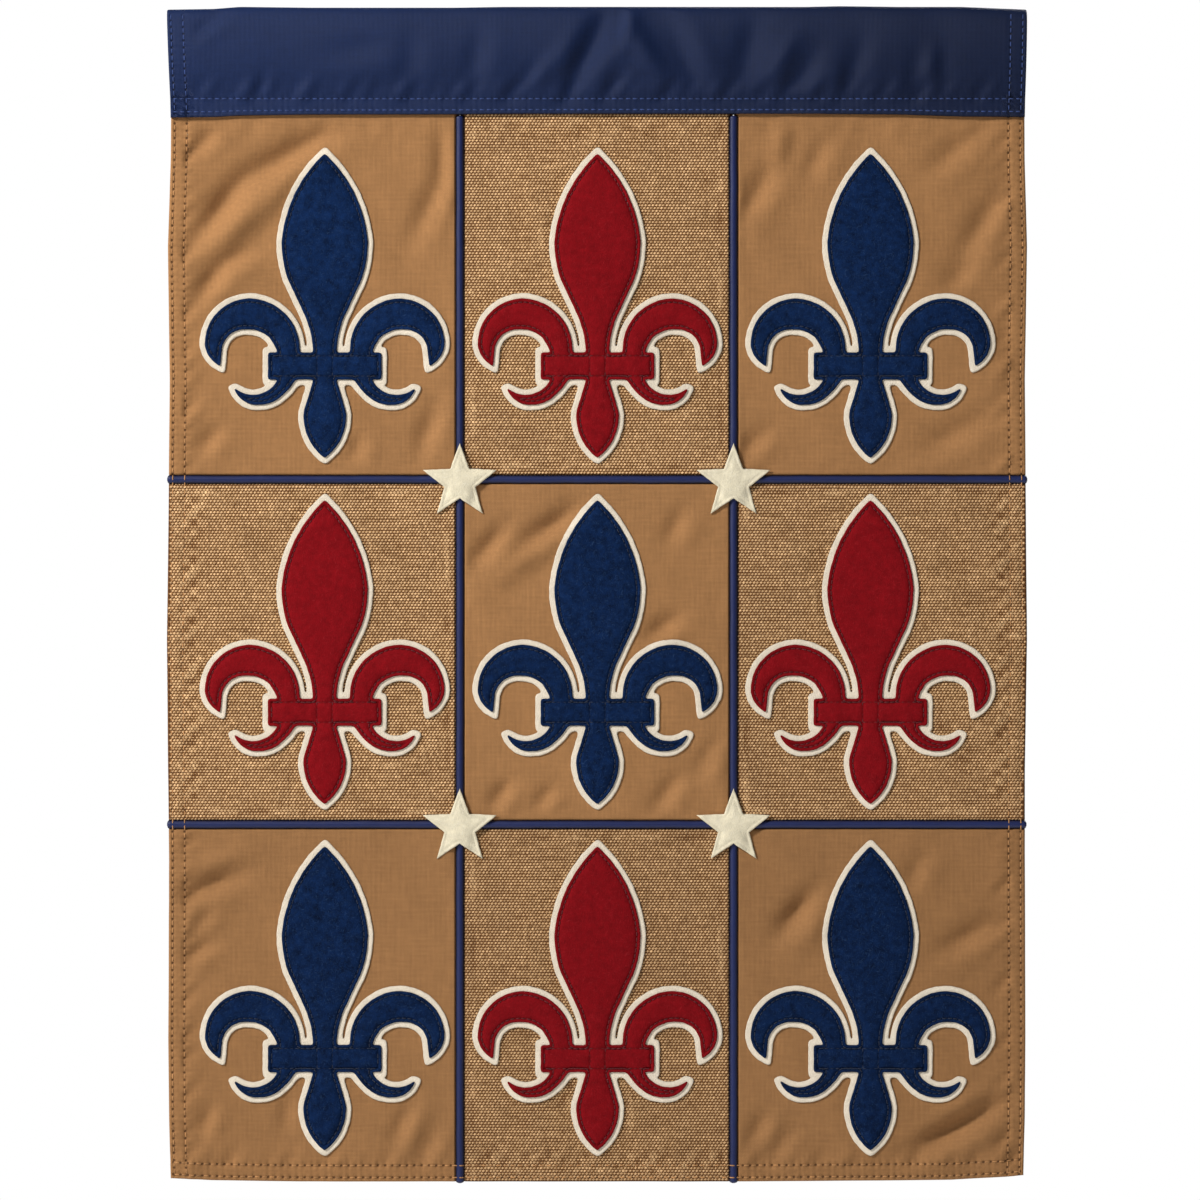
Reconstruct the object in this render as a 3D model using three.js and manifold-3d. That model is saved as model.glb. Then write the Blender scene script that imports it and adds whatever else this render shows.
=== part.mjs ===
// A small banner of nine patchwork panels under a dark rod sleeve.
// Millimetres, +Z up, front face towards -Y, origin at the top edge of the sleeve at mid-width.
// The cloth hangs in soft folds. Every layer follows one shared surface, so stacked layers keep
// an even gap. Motifs are appliqué: a coloured felt on a cream felt backing, on the panel.

import * as THREE from 'three';
import { mergeVertices } from 'three/addons/utils/BufferGeometryUtils.js';
import Module from 'manifold-3d';

const wasm = await Module();
wasm.setup();

// Driving sizes.
const HALF_WIDE = 167;
const BODY_TOP = -35.7;
const BODY_FOOT = -450.7;
const GAP = 0.3;
const CLOTH_THICK = 1.2;
const FELT_THICK = 1.0;
const STAR_THICK = 1.2;
const HEM_WIDE = 6.3;
const HEM_THICK = 0.8;
const HEM_BITE = 0.2;
const HEM_TOP = -42.9;
const PIPING_ROUND = 1.6;
const PIPING_SIDES = 8;
const PIPING_OUT = 0.4;
const PIPING_PAST_EDGE = 0.6;
const PIPING_STEP = 20;
const PIPING_X = { left: -52.6, right: 52.4 };
const PIPING_Z = { upper: -181.3, lower: -313.7 };

// Rod sleeve: the flat seam where its two legs hold the body's top edge between them.
const SLEEVE_FOOT = -41.4;
const SLEEVE_LEG_IN = CLOTH_THICK / 2 + GAP;
const SLEEVE_LEG_OUT = SLEEVE_LEG_IN + 1.0;
const SLEEVE_WEB = -35.4;
const SLEEVE_SEAM = -37;
const SLEEVE_CROWN = -12;
const SLEEVE_FILL = 6;
const SLEEVE_END = { left: { top: -164.9, foot: -163.4 }, right: { top: 164.9, foot: 164.1 } };

// Layers in front of the panel's middle surface, as distances towards the viewer.
const BACKING_NEAR = CLOTH_THICK / 2 + GAP + FELT_THICK;
const FELT_NEAR = BACKING_NEAR + GAP + FELT_THICK;
const STAR_FAR = PIPING_OUT + PIPING_ROUND + GAP + 0.1;

// The folds are worked out on a shared grid of triangles.
const GRID_TOP = 3;
const GRID_SEAM = -46;
const GRID_FOOT = -455;
const GRID_COLUMNS = 12;
const GRID_ROWS = 14;
const CREASE_CELLS = 2;
const CREASE_LEAST = 0.12;
const SEAM_FADE = 12;

// Broad swells of the cloth: place, half widths and how far it comes forward.
const swells = [
  { x: -150, z: -110, wide: 34, high: 60, out: 1.1 },
  { x: -92, z: -150, wide: 40, high: 46, out: -1.0 },
  { x: -8, z: -95, wide: 38, high: 40, out: 1.2 },
  { x: 60, z: -140, wide: 32, high: 60, out: -0.9 },
  { x: 128, z: -96, wide: 38, high: 44, out: 1.0 },
  { x: -128, z: -246, wide: 42, high: 40, out: 1.3 },
  { x: -62, z: -226, wide: 26, high: 44, out: -0.8 },
  { x: 14, z: -252, wide: 36, high: 36, out: 1.0 },
  { x: 84, z: -262, wide: 34, high: 52, out: -1.1 },
  { x: 146, z: -226, wide: 30, high: 46, out: 1.0 },
  { x: -112, z: -356, wide: 38, high: 42, out: -1.0 },
  { x: -20, z: -372, wide: 40, high: 48, out: 1.2 },
  { x: 52, z: -404, wide: 34, high: 38, out: -0.8 },
  { x: 118, z: -372, wide: 36, high: 42, out: 1.1 },
  { x: -160, z: -440, wide: 30, high: 34, out: 1.5 },
  { x: 160, z: -448, wide: 30, high: 30, out: -1.4 },
];

// Creases: soft troughs that run back from the face, most of them rising to the right.
const creases = [
  { x: -127, z: -70, angle: 38, long: 30, wide: 8, deep: 1.7 },
  { x: -146, z: -110, angle: 46, long: 16, wide: 7.5, deep: 1.3 },
  { x: -89, z: -163, angle: 50, long: 11, wide: 7, deep: 0.9 },
  { x: 68, z: -62, angle: 40, long: 13, wide: 7.5, deep: 1.0 },
  { x: 147, z: -82, angle: 62, long: 18, wide: 8, deep: 1.1 },
  { x: -33, z: -207, angle: 40, long: 17, wide: 7.5, deep: 1.4 },
  { x: 31, z: -236, angle: 56, long: 13, wide: 7.5, deep: 1.1 },
  { x: -41, z: -291, angle: 60, long: 13, wide: 7, deep: 1.0 },
  { x: -147, z: -328, angle: 16, long: 15, wide: 7.5, deep: 1.0 },
  { x: -81, z: -421, angle: 30, long: 17, wide: 7.5, deep: 1.1 },
  { x: 72, z: -349, angle: 45, long: 20, wide: 8, deep: 1.5 },
  { x: 149, z: -419, angle: 40, long: 17, wide: 7.5, deep: 1.5 },
  { x: 143, z: -345, angle: 46, long: 15, wide: 7.5, deep: 1.1 },
];

// Side edges of the body, a little in and out down its length.
const sideEdges = [
  { z: -35, left: -163.4, right: 164.0 },
  { z: -58, left: -163.5, right: 164.1 },
  { z: -92, left: -164.6, right: 165.0 },
  { z: -143, left: -163.9, right: 164.2 },
  { z: -212, left: -164.6, right: 164.7 },
  { z: -243, left: -165.0, right: 165.0 },
  { z: -293, left: -164.6, right: 164.2 },
  { z: -327, left: -164.2, right: 164.2 },
  { z: -396, left: -164.5, right: 164.4 },
  { z: -427, left: -164.1, right: 164.2 },
  { z: -452, left: -163.4, right: 163.6 },
];

// Foot of the body: it rises a little at both corners.
const footEdge = [
  { x: -166, z: -449.2 },
  { x: -147, z: -450.1 },
  { x: -114, z: -450.7 },
  { x: 58, z: -450.7 },
  { x: 136, z: -450.1 },
  { x: 157, z: -449.0 },
  { x: 166, z: -448.1 },
];

// Sleeve: height of its top edge and drop of its lower edge along the width.
const sleeveEdges = [
  { x: -167, top: -1.1, foot: -1.2 },
  { x: -147, top: -0.8, foot: -1.0 },
  { x: -137, top: 0, foot: -0.4 },
  { x: -110, top: -0.3, foot: 0 },
  { x: -54, top: -0.3, foot: 0.1 },
  { x: -36, top: 0, foot: 0.3 },
  { x: 0, top: 0, foot: 0.3 },
  { x: 80, top: 0, foot: 0.3 },
  { x: 93, top: 0.3, foot: 0.2 },
  { x: 116, top: 0, foot: 0 },
  { x: 140, top: 0, foot: -0.8 },
  { x: 167, top: -1.1, foot: -0.9 },
];

// Upright folds pinch the sleeve's tube along the width.
const sleeveFolds = [
  { x: -118, wide: 16, pinch: 0.07 },
  { x: -60, wide: 12, pinch: 0.09 },
  { x: 2, wide: 7, pinch: 0.16 },
  { x: 24, wide: 8, pinch: 0.1 },
  { x: 62, wide: 10, pinch: 0.12 },
  { x: 98, wide: 9, pinch: 0.08 },
  { x: 130, wide: 9, pinch: 0.11 },
];
const sleeveStations = [
  -167, -139.17, -118, -104, -83.5, -60, -44, -27.83, -8, 2, 12, 24, 36, 55.67, 66, 83.5, 98,
  111.33, 130, 139.17, 167,
];

// Half of the sleeve's section from its lower edge up to its crown, outside and inside.
const sleeveOutside = [
  { y: SLEEVE_LEG_OUT, z: SLEEVE_FOOT },
  { y: SLEEVE_LEG_OUT, z: -36.2 },
  { y: 3.4, z: -31 },
  { y: 4.9, z: -24 },
  { y: 5.5, z: -16 },
  { y: 5.0, z: -8 },
  { y: 3.6, z: -3 },
  { y: 1.8, z: -0.6 },
];
const sleeveInside = [
  { y: 2.3, z: -30.6 },
  { y: 3.8, z: -23.8 },
  { y: 4.4, z: -16 },
  { y: 3.9, z: -8.4 },
  { y: 2.7, z: -4 },
  { y: 1.1, z: -1.6 },
];
const SLEEVE_INSIDE_FOOT = -34.2;
const SLEEVE_INSIDE_CROWN = -1.1;

// Fleur-de-lis, right half, from the middle of its band. Each row is a corner of the outline, in
// anticlockwise order, and bow is how far the stretch up to it bulges outwards.
const PETAL = [
  { x: 4.6, z: 0, bow: 0 },
  { x: 4.6, z: 5.2, bow: 0 },
  { x: 6.9, z: 17.7, bow: -0.5 },
  { x: 14.3, z: 33.5, bow: 0 },
  { x: 16.6, z: 47.8, bow: 0.6 },
  { x: 0, z: 81.6, bow: 3.5 },
];
const FOOT_PETAL = [
  { x: 0, z: -35.4, bow: 0 },
  { x: 8.2, z: -17.8, bow: 2.5 },
  { x: 4.4, z: -5.2, bow: 0.3 },
  { x: 4.4, z: 0, bow: 0 },
];
const UPPER_CURL = [
  { x: 9.7, z: 0, bow: 0 },
  { x: 18.2, z: 0, bow: 0 },
  { x: 18.2, z: 5.2, bow: 0 },
  { x: 22.3, z: 12.3, bow: -0.6 },
  { x: 40.2, z: 5.7, bow: -6.7 },
  { x: 39.9, z: -0.1, bow: -0.3 },
  { x: 46.0, z: 8.0, bow: 1.3 },
  { x: 28.1, z: 25.9, bow: 5.25 },
  { x: 9.7, z: 5.2, bow: 5.8 },
];
const LOWER_CURL = [
  { x: 11.6, z: 0, bow: 0 },
  { x: 11.6, z: -5.7, bow: 0 },
  { x: 24.3, z: -14.4, bow: -0.9 },
  { x: 34.2, z: -9.0, bow: 1.6 },
  { x: 18.1, z: -5.7, bow: -3.5 },
  { x: 18.1, z: 0, bow: 0 },
];
const BAND_HALF_WIDE = 21.8;
const BAND_HALF_HIGH = 5.2;
const BORDER_WIDE = 2.4;
const MITRE_LIMIT = 1.35;
// The largest turn of one straight step in an arc, in radians.
const BOW_TURN = 0.48;
// Half the depth of the cutting prisms, far past the cloth on both sides.
const THROUGH = 40;
const MOTIF_X = { left: -104.4, mid: 0.2, right: 104.9 };
const MOTIF_Z = { top: -137.8, mid: -270.6, foot: -403.4 };

const STAR_POINTS = 5;
const STAR_TIP = 14.6;
const STAR_NOTCH = 6.3;
// The two lower tips bend back by the drop, and the star sits a little below the crossing.
const STAR_LOW = -8;
const STAR_DROP = 1.0;
const STAR_BELOW = 1;

const cloth = (color, roughness) => new THREE.MeshStandardMaterial({ color, roughness, metalness: 0 });
const looks = {
  navy: cloth(0x202c50, 0.7),
  cord: cloth(0x1e2350, 0.75),
  plain: cloth(0xa9835c, 0.85),
  coarse: cloth(0xb58d5f, 0.95),
  cream: cloth(0xf2e6cf, 0.95),
  blue: cloth(0x1f3c66, 0.95),
  red: cloth(0x93192a, 0.95),
};

// Reads a value from a table of rows in rising or falling order of the key.
function along(table, key, value, name) {
  const rising = table[0][key] < table[table.length - 1][key];
  const rows = rising ? table : [...table].reverse();
  let i = 1;
  while (i < rows.length - 1 && rows[i][key] < value) i += 1;
  const a = rows[i - 1];
  const b = rows[i];
  const t = THREE.MathUtils.clamp((value - a[key]) / (b[key] - a[key]), 0, 1);
  return THREE.MathUtils.lerp(a[name], b[name], t);
}

function bell(distance, reach) {
  return Math.exp(-((distance / reach) ** 2));
}

// The broad shape of the cloth, as distance behind the plane y = 0.
function swell(x, z) {
  const seamed = Math.min(z, GRID_SEAM);
  return -swells.reduce((sum, s) => sum + s.out * bell(x - s.x, s.wide) * bell(seamed - s.z, s.high), 0);
}

function crease(x, z) {
  const fade = THREE.MathUtils.clamp((GRID_SEAM - z) / SEAM_FADE, 0, 1);
  return creases.reduce((sum, c) => {
    const turn = THREE.MathUtils.degToRad(c.angle);
    const u = (x - c.x) * Math.cos(turn) + (z - c.z) * Math.sin(turn);
    const v = (z - c.z) * Math.cos(turn) - (x - c.x) * Math.sin(turn);
    const deep = fade * c.deep * bell(u, c.long) * bell(v, c.wide);
    return sum + Math.max(deep - CREASE_LEAST, 0);
  }, 0);
}

const columnWide = (2 * HALF_WIDE) / GRID_COLUMNS;
const rowHigh = (GRID_SEAM - GRID_FOOT) / GRID_ROWS;

// Broad shape on the coarse grid: flat triangles between its corners, each cell cut from its
// upper left corner to its lower right one.
function hang(x, z) {
  const i = THREE.MathUtils.clamp(Math.floor((x + HALF_WIDE) / columnWide), 0, GRID_COLUMNS - 1);
  const j = Math.max(Math.floor((GRID_SEAM - z) / rowHigh + 1e-9), 0);
  const left = -HALF_WIDE + i * columnWide;
  const upper = GRID_SEAM - j * rowHigh;
  const u = (x - left) / columnWide;
  const v = Math.max((upper - z) / rowHigh, 0);
  const start = swell(left, upper);
  const across = swell(left + columnWide, upper);
  const down = swell(left, upper - rowHigh);
  const far = swell(left + columnWide, upper - rowHigh);
  return u > v ? start + (across - start) * (u - v) + (far - start) * v
    : start + (down - start) * (v - u) + (far - start) * u;
}

const drape = (x, z) => hang(x, z) + crease(x, z);

// A closed sheet on the grid, each grid cell split in cells each way. near and far are its faces,
// as distances towards the viewer.
function sheet(shape, { near, far }, cells) {
  const xs = [];
  const zs = [GRID_TOP];
  for (let i = 0; i <= GRID_COLUMNS * cells; i += 1) xs.push(-HALF_WIDE + (i * columnWide) / cells);
  for (let j = 0; j <= GRID_ROWS * cells; j += 1) zs.push(GRID_SEAM - (j * rowHigh) / cells);
  const across = xs.length;
  const count = across * zs.length;
  const points = [];
  for (const lift of [near, far]) {
    for (const z of zs) {
      for (const x of xs) points.push(x, shape(x, z) - lift, z);
    }
  }
  const faces = [];
  const quad = (a, b, c, d) => faces.push(a, b, c, a, c, d);
  for (let j = 0; j + 1 < zs.length; j += 1) {
    for (let i = 0; i + 1 < across; i += 1) {
      const a = j * across + i;
      quad(a, a + across, a + across + 1, a + 1);
      faces.push(count + a, count + a + across + 1, count + a + across);
      faces.push(count + a, count + a + 1, count + a + across + 1);
    }
  }
  for (let j = 0; j + 1 < zs.length; j += 1) {
    const a = j * across;
    const b = a + across - 1;
    quad(a, count + a, count + a + across, a + across);
    quad(b, b + across, count + b + across, count + b);
  }
  for (let i = 0; i + 1 < across; i += 1) {
    const b = (zs.length - 1) * across + i;
    quad(i, i + 1, count + i + 1, count + i);
    quad(b, count + b, count + b + 1, b + 1);
  }
  const geometry = new THREE.BufferGeometry();
  geometry.setAttribute('position', new THREE.Float32BufferAttribute(points, 3));
  geometry.setIndex(faces);
  return solid(geometry);
}

// three.js geometry to a solid that can be joined and cut, and back.
function solid(geometry) {
  const bare = geometry.clone();
  bare.deleteAttribute('normal');
  bare.deleteAttribute('uv');
  const merged = mergeVertices(bare, 1e-5);
  return new wasm.Manifold(new wasm.Mesh({
    numProp: 3,
    vertProperties: new Float32Array(merged.attributes.position.array),
    triVerts: new Uint32Array(merged.index.array),
  }));
}

function surface(body) {
  const mesh = body.getMesh();
  const points = [];
  for (let i = 0; i < mesh.vertProperties.length; i += mesh.numProp) {
    points.push(...mesh.vertProperties.slice(i, i + 3));
  }
  const geometry = new THREE.BufferGeometry();
  geometry.setAttribute('position', new THREE.Float32BufferAttribute(points, 3));
  geometry.setIndex([...mesh.triVerts]);
  return geometry;
}

// Outline in X and Z, carried through the cloth from front to back.
function prism(outline, reach) {
  const shape = new THREE.Shape(outline.map((p) => new THREE.Vector2(p.x, p.z)));
  const geometry = new THREE.ExtrudeGeometry(shape, { depth: 2 * reach, bevelEnabled: false });
  geometry.rotateX(Math.PI / 2);
  geometry.translate(0, reach, 0);
  return solid(geometry);
}

function rectangle(left, right, foot, top) {
  return [{ x: left, z: foot }, { x: right, z: foot }, { x: right, z: top }, { x: left, z: top }];
}

// Turns rows of corners into points, with an arc where a row has a bow.
function bowed(rows) {
  const points = [];
  rows.forEach((row, k) => {
    const from = rows.at(k - 1);
    const chord = Math.hypot(row.x - from.x, row.z - from.z);
    if (row.bow !== 0 && chord > 0) {
      const turn = 4 * Math.atan((2 * row.bow) / chord);
      const steps = Math.max(1, Math.round(Math.abs(turn) / BOW_TURN));
      const radius = chord / (2 * Math.sin(turn / 2));
      const heading = Math.atan2(row.z - from.z, row.x - from.x) - turn / 2;
      for (let s = 1; s < steps; s += 1) {
        const part = (turn * s) / steps;
        const reach = 2 * radius * Math.sin(part / 2);
        const course = heading + part / 2;
        points.push({ x: from.x + reach * Math.cos(course), z: from.z + reach * Math.sin(course) });
      }
    }
    points.push({ x: row.x, z: row.z });
  });
  return points;
}

// Moves every side of an anticlockwise outline outwards, with short flat tips on sharp corners.
function grown(outline, border) {
  return outline.flatMap((p, k) => {
    const before = outline.at(k - 1);
    const after = outline[(k + 1) % outline.length];
    const into = new THREE.Vector2(p.x - before.x, p.z - before.z).normalize();
    const away = new THREE.Vector2(after.x - p.x, after.z - p.z).normalize();
    const first = new THREE.Vector2(into.y, -into.x);
    const second = new THREE.Vector2(away.y, -away.x);
    const middle = first.clone().add(second).normalize();
    const cosine = middle.dot(first);
    const sine = middle.dot(into);
    const moved = (offset) => ({ x: p.x + border * offset.x, z: p.z + border * offset.y });
    if (sine <= 0 || 1 / cosine <= MITRE_LIMIT) return [moved(middle.divideScalar(cosine))];
    const slide = (MITRE_LIMIT - cosine) / sine;
    return [moved(first.addScaledVector(into, slide)), moved(second.addScaledVector(away, -slide))];
  });
}

const mirrored = (outline) => outline.map((p) => ({ x: -p.x, z: p.z })).reverse();

// Both halves of an outline whose right half starts or ends on the middle line.
function symmetric(rows) {
  const half = bowed(rows);
  return [...half, ...mirrored(half).filter((p) => p.x < 0)];
}

// The whole motif as one solid: two petals, two pairs of curls and the band.
function fleur(border) {
  const band = rectangle(-BAND_HALF_WIDE, BAND_HALF_WIDE, -BAND_HALF_HIGH, BAND_HALF_HIGH);
  const curls = [bowed(UPPER_CURL), bowed(LOWER_CURL)];
  const parts = [band, symmetric(PETAL), symmetric(FOOT_PETAL), ...curls, ...curls.map(mirrored)];
  return parts
    .map((part, k) => prism(border > 0 ? grown(part, border) : part, THROUGH + k))
    .reduce((whole, part) => whole.add(part));
}

// Spans of the body's panels. A null end is the cloth's own edge.
const pipingGap = PIPING_ROUND + GAP;
const panelColumns = {
  left: { from: null, to: PIPING_X.left - pipingGap },
  mid: { from: PIPING_X.left + pipingGap, to: PIPING_X.right - pipingGap },
  right: { from: PIPING_X.right + pipingGap, to: null },
};
const panelRows = {
  top: { from: BODY_TOP, to: PIPING_Z.upper + pipingGap },
  mid: { from: PIPING_Z.upper - pipingGap, to: PIPING_Z.lower + pipingGap },
  foot: { from: PIPING_Z.lower - pipingGap, to: null },
};

// One side of a panel as points from top to foot.
function sideRun(name, upper, lower, inset) {
  const inner = sideEdges.filter((e) => e.z < upper && e.z > lower).map((e) => e.z);
  const sign = name === 'left' ? 1 : -1;
  return [upper, ...inner, lower].map((z) => ({ x: along(sideEdges, 'z', z, name) + sign * inset, z }));
}

// The foot of a panel as points from left to right.
function footRun(from, to, inset) {
  const inner = footEdge.filter((e) => e.x > from && e.x < to).map((e) => e.x);
  return [from, ...inner, to].map((x) => ({ x, z: along(footEdge, 'x', x, 'z') + inset }));
}

// Outline of a panel, or of the field inside its hems when they are inset.
function panelOutline(column, row, sideInset, footInset) {
  const { from, to } = panelColumns[column];
  const upper = panelRows[row].from;
  const lower = panelRows[row].to ?? BODY_FOOT + footInset;
  const straight = (x) => [{ x, z: upper }, { x, z: lower }];
  const left = from === null ? sideRun('left', upper, lower, sideInset) : straight(from);
  const right = to === null ? sideRun('right', upper, lower, sideInset) : straight(to);
  if (panelRows[row].to !== null) return [...left, ...right.reverse()];
  const foot = footRun(left[left.length - 1].x, right[right.length - 1].x, footInset);
  return [...left.slice(0, -1), ...foot, ...right.slice(0, -1).reverse()];
}

const clothFaces = { near: CLOTH_THICK / 2, far: -CLOTH_THICK / 2 };
const hemFaces = { near: HEM_BITE - CLOTH_THICK / 2, far: -CLOTH_THICK / 2 - HEM_THICK };
// The plain cloth creases sharply and takes a finer grid than the stiff coarse cloth.
const panelSheets = {
  plain: {
    face: sheet(drape, clothFaces, CREASE_CELLS),
    hem: sheet(drape, hemFaces, CREASE_CELLS),
  },
  coarse: {
    face: sheet(hang, clothFaces, 1),
    hem: sheet(hang, hemFaces, 1),
  },
};
const backingSheet = sheet(hang, { near: BACKING_NEAR, far: BACKING_NEAR - FELT_THICK }, 1);
const feltSheet = sheet(hang, { near: FELT_NEAR, far: FELT_NEAR - FELT_THICK }, 1);

// A panel with its hem, which is folded to the back and stops below the sleeve.
function panel(column, row, weave) {
  const outline = prism(panelOutline(column, row, 0, 0), THROUGH);
  const sheets = panelSheets[weave];
  const face = sheets.face.intersect(outline);
  const sideInset = column === 'mid' ? 0 : HEM_WIDE;
  const footInset = row === 'foot' ? HEM_WIDE : 0;
  if (sideInset === 0 && footInset === 0) return surface(face);
  const within = prism(panelOutline(column, row, sideInset, footInset), THROUGH + 1);
  const aboveHem = prism(rectangle(-HALF_WIDE - 1, HALF_WIDE + 1, HEM_TOP, GRID_TOP), THROUGH + 2);
  const hem = sheets.hem.intersect(outline).subtract(within.add(aboveHem));
  return surface(face.add(hem));
}

// A round cord along points of a line on the cloth.
function piping(from, to) {
  const steps = Math.max(2, Math.round(from.distanceTo(to) / PIPING_STEP));
  const line = [];
  for (let s = 0; s <= steps; s += 1) {
    const p = from.clone().lerp(to, s / steps);
    line.push(new THREE.Vector3(p.x, drape(p.x, p.y) - PIPING_OUT, p.y));
  }
  const section = new THREE.Shape();
  for (let k = 0; k < PIPING_SIDES; k += 1) {
    const turn = (2 * Math.PI * k) / PIPING_SIDES;
    const x = PIPING_ROUND * Math.cos(turn);
    const y = PIPING_ROUND * Math.sin(turn);
    if (k === 0) section.moveTo(x, y);
    else section.lineTo(x, y);
  }
  const extrudePath = new THREE.CatmullRomCurve3(line);
  return new THREE.ExtrudeGeometry(section, { steps, extrudePath });
}

// The sleeve: one section with a hollow, carried along the stations and then shaped by the tables.
function sleeve() {
  const bothSides = (half, crown) => {
    const far = half.map((p) => new THREE.Vector2(p.y, p.z));
    const near = [...half].reverse().map((p) => new THREE.Vector2(-p.y, p.z));
    return [...far, new THREE.Vector2(0, crown), ...near];
  };
  const legs = [{ y: SLEEVE_LEG_IN, z: SLEEVE_WEB }, { y: SLEEVE_LEG_IN, z: SLEEVE_FOOT }];
  const section = new THREE.Shape(bothSides([...legs, ...sleeveOutside], 0));
  const hollow = bothSides(sleeveInside, SLEEVE_INSIDE_CROWN);
  section.holes.push(new THREE.Path([new THREE.Vector2(0, SLEEVE_INSIDE_FOOT), ...hollow]));
  const steps = sleeveStations.length - 1;
  const geometry = new THREE.ExtrudeGeometry(section, { depth: steps, steps, bevelEnabled: false });
  const place = geometry.attributes.position;
  for (let k = 0; k < place.count; k += 1) {
    const station = Math.round(place.getZ(k));
    const z = place.getY(k);
    const x = sleeveEnd(station, sleeveStations[station], z);
    const pinch = sleeveFolds.reduce((sum, f) => sum + f.pinch * bell(x - f.x, f.wide), 0);
    const seam = THREE.MathUtils.clamp((SLEEVE_SEAM - z) / (SLEEVE_SEAM - SLEEVE_FOOT), 0, 1);
    const crown = THREE.MathUtils.clamp(1 - z / SLEEVE_CROWN, 0, 1);
    const tube = THREE.MathUtils.clamp((z - SLEEVE_WEB) / SLEEVE_FILL, 0, 1);
    const y = place.getX(k) * (1 - pinch * tube) + hang(x, GRID_SEAM);
    const rise = crown * along(sleeveEdges, 'x', x, 'top') + seam * along(sleeveEdges, 'x', x, 'foot');
    place.setXYZ(k, x, y, z + rise);
  }
  return surface(solid(geometry));
}

// The sleeve's ends lean in a little towards its lower edge.
function sleeveEnd(station, x, z) {
  const down = THREE.MathUtils.clamp(z / SLEEVE_FOOT, 0, 1);
  if (station > 0 && station < sleeveStations.length - 1) return x;
  const end = station === 0 ? SLEEVE_END.left : SLEEVE_END.right;
  return THREE.MathUtils.lerp(end.top, end.foot, down);
}

// A star lies over a crossing of the piping, its lower tips bent back towards the cloth.
function star(centreX, centreZ) {
  const tips = [];
  for (let k = 0; k < 2 * STAR_POINTS; k += 1) {
    const turn = Math.PI / 2 + (Math.PI * k) / STAR_POINTS;
    const reach = k % 2 === 0 ? STAR_TIP : STAR_NOTCH;
    tips.push(new THREE.Vector2(reach * Math.cos(turn), reach * Math.sin(turn)));
  }
  const shape = new THREE.Shape(tips);
  const geometry = new THREE.ExtrudeGeometry(shape, { depth: STAR_THICK, bevelEnabled: false });
  const place = geometry.attributes.position;
  for (let k = 0; k < place.count; k += 1) {
    const x = place.getX(k);
    const z = place.getY(k);
    const low = z < STAR_LOW ? STAR_DROP : 0;
    const y = hang(centreX + x, centreZ + z) - STAR_FAR - place.getZ(k) + low;
    place.setXYZ(k, centreX + x, y, centreZ + z);
  }
  return surface(solid(geometry));
}

const banner = new THREE.Group();

function add(name, geometry, material) {
  const mesh = new THREE.Mesh(geometry, material);
  mesh.name = name;
  banner.add(mesh);
}

add('rod_sleeve', sleeve(), looks.navy);

// Plain panels with blue motifs alternate with coarse panels with red ones.
const backing = fleur(BORDER_WIDE);
const felt = fleur(0);
Object.keys(panelRows).forEach((row, r) => {
  Object.keys(panelColumns).forEach((column, c) => {
    const weave = (r + c) % 2 === 0 ? 'plain' : 'coarse';
    const colour = weave === 'plain' ? 'blue' : 'red';
    const place = [MOTIF_X[column], 0, MOTIF_Z[row]];
    const under = backingSheet.intersect(backing.translate(place));
    const over = feltSheet.intersect(felt.translate(place));
    add(`panel_${row}_${column}`, panel(column, row, weave), looks[weave]);
    add(`backing_${row}_${column}`, surface(under), looks.cream);
    add(`fleur_${row}_${column}`, surface(over), looks[colour]);
  });
});

for (const [side, z] of Object.entries(PIPING_Z)) {
  const from = new THREE.Vector2(along(sideEdges, 'z', z, 'left') - PIPING_PAST_EDGE, z);
  const to = new THREE.Vector2(along(sideEdges, 'z', z, 'right') + PIPING_PAST_EDGE, z);
  add(`piping_across_${side}`, piping(from, to), looks.cord);
}

const downRuns = {
  top: { from: SLEEVE_FOOT - GAP, to: PIPING_Z.upper + pipingGap },
  mid: { from: PIPING_Z.upper - pipingGap, to: PIPING_Z.lower + pipingGap },
  foot: { from: PIPING_Z.lower - pipingGap, to: BODY_FOOT - PIPING_PAST_EDGE },
};
for (const [side, x] of Object.entries(PIPING_X)) {
  for (const [row, run] of Object.entries(downRuns)) {
    add(`piping_down_${side}_${row}`, piping(new THREE.Vector2(x, run.from), new THREE.Vector2(x, run.to)),
      looks.cord);
  }
}

for (const [level, z] of Object.entries(PIPING_Z)) {
  for (const [side, x] of Object.entries(PIPING_X)) {
    add(`star_${level}_${side}`, star(x, z - STAR_BELOW), looks.cream);
  }
}

export default banner;
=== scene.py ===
# Garden flag: nine patchwork panels in three rows of three, round piping between them, felt
# motifs and stars sewn on top, and a rod sleeve along the top edge.
# The flag hangs in the plane of X and Z and its face looks towards -Y. Shapes are worked out in
# millimetres and turned into metres when a mesh is made.
# Every layer follows one shared cloth surface, so what is sewn on lies evenly on its panel.

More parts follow.
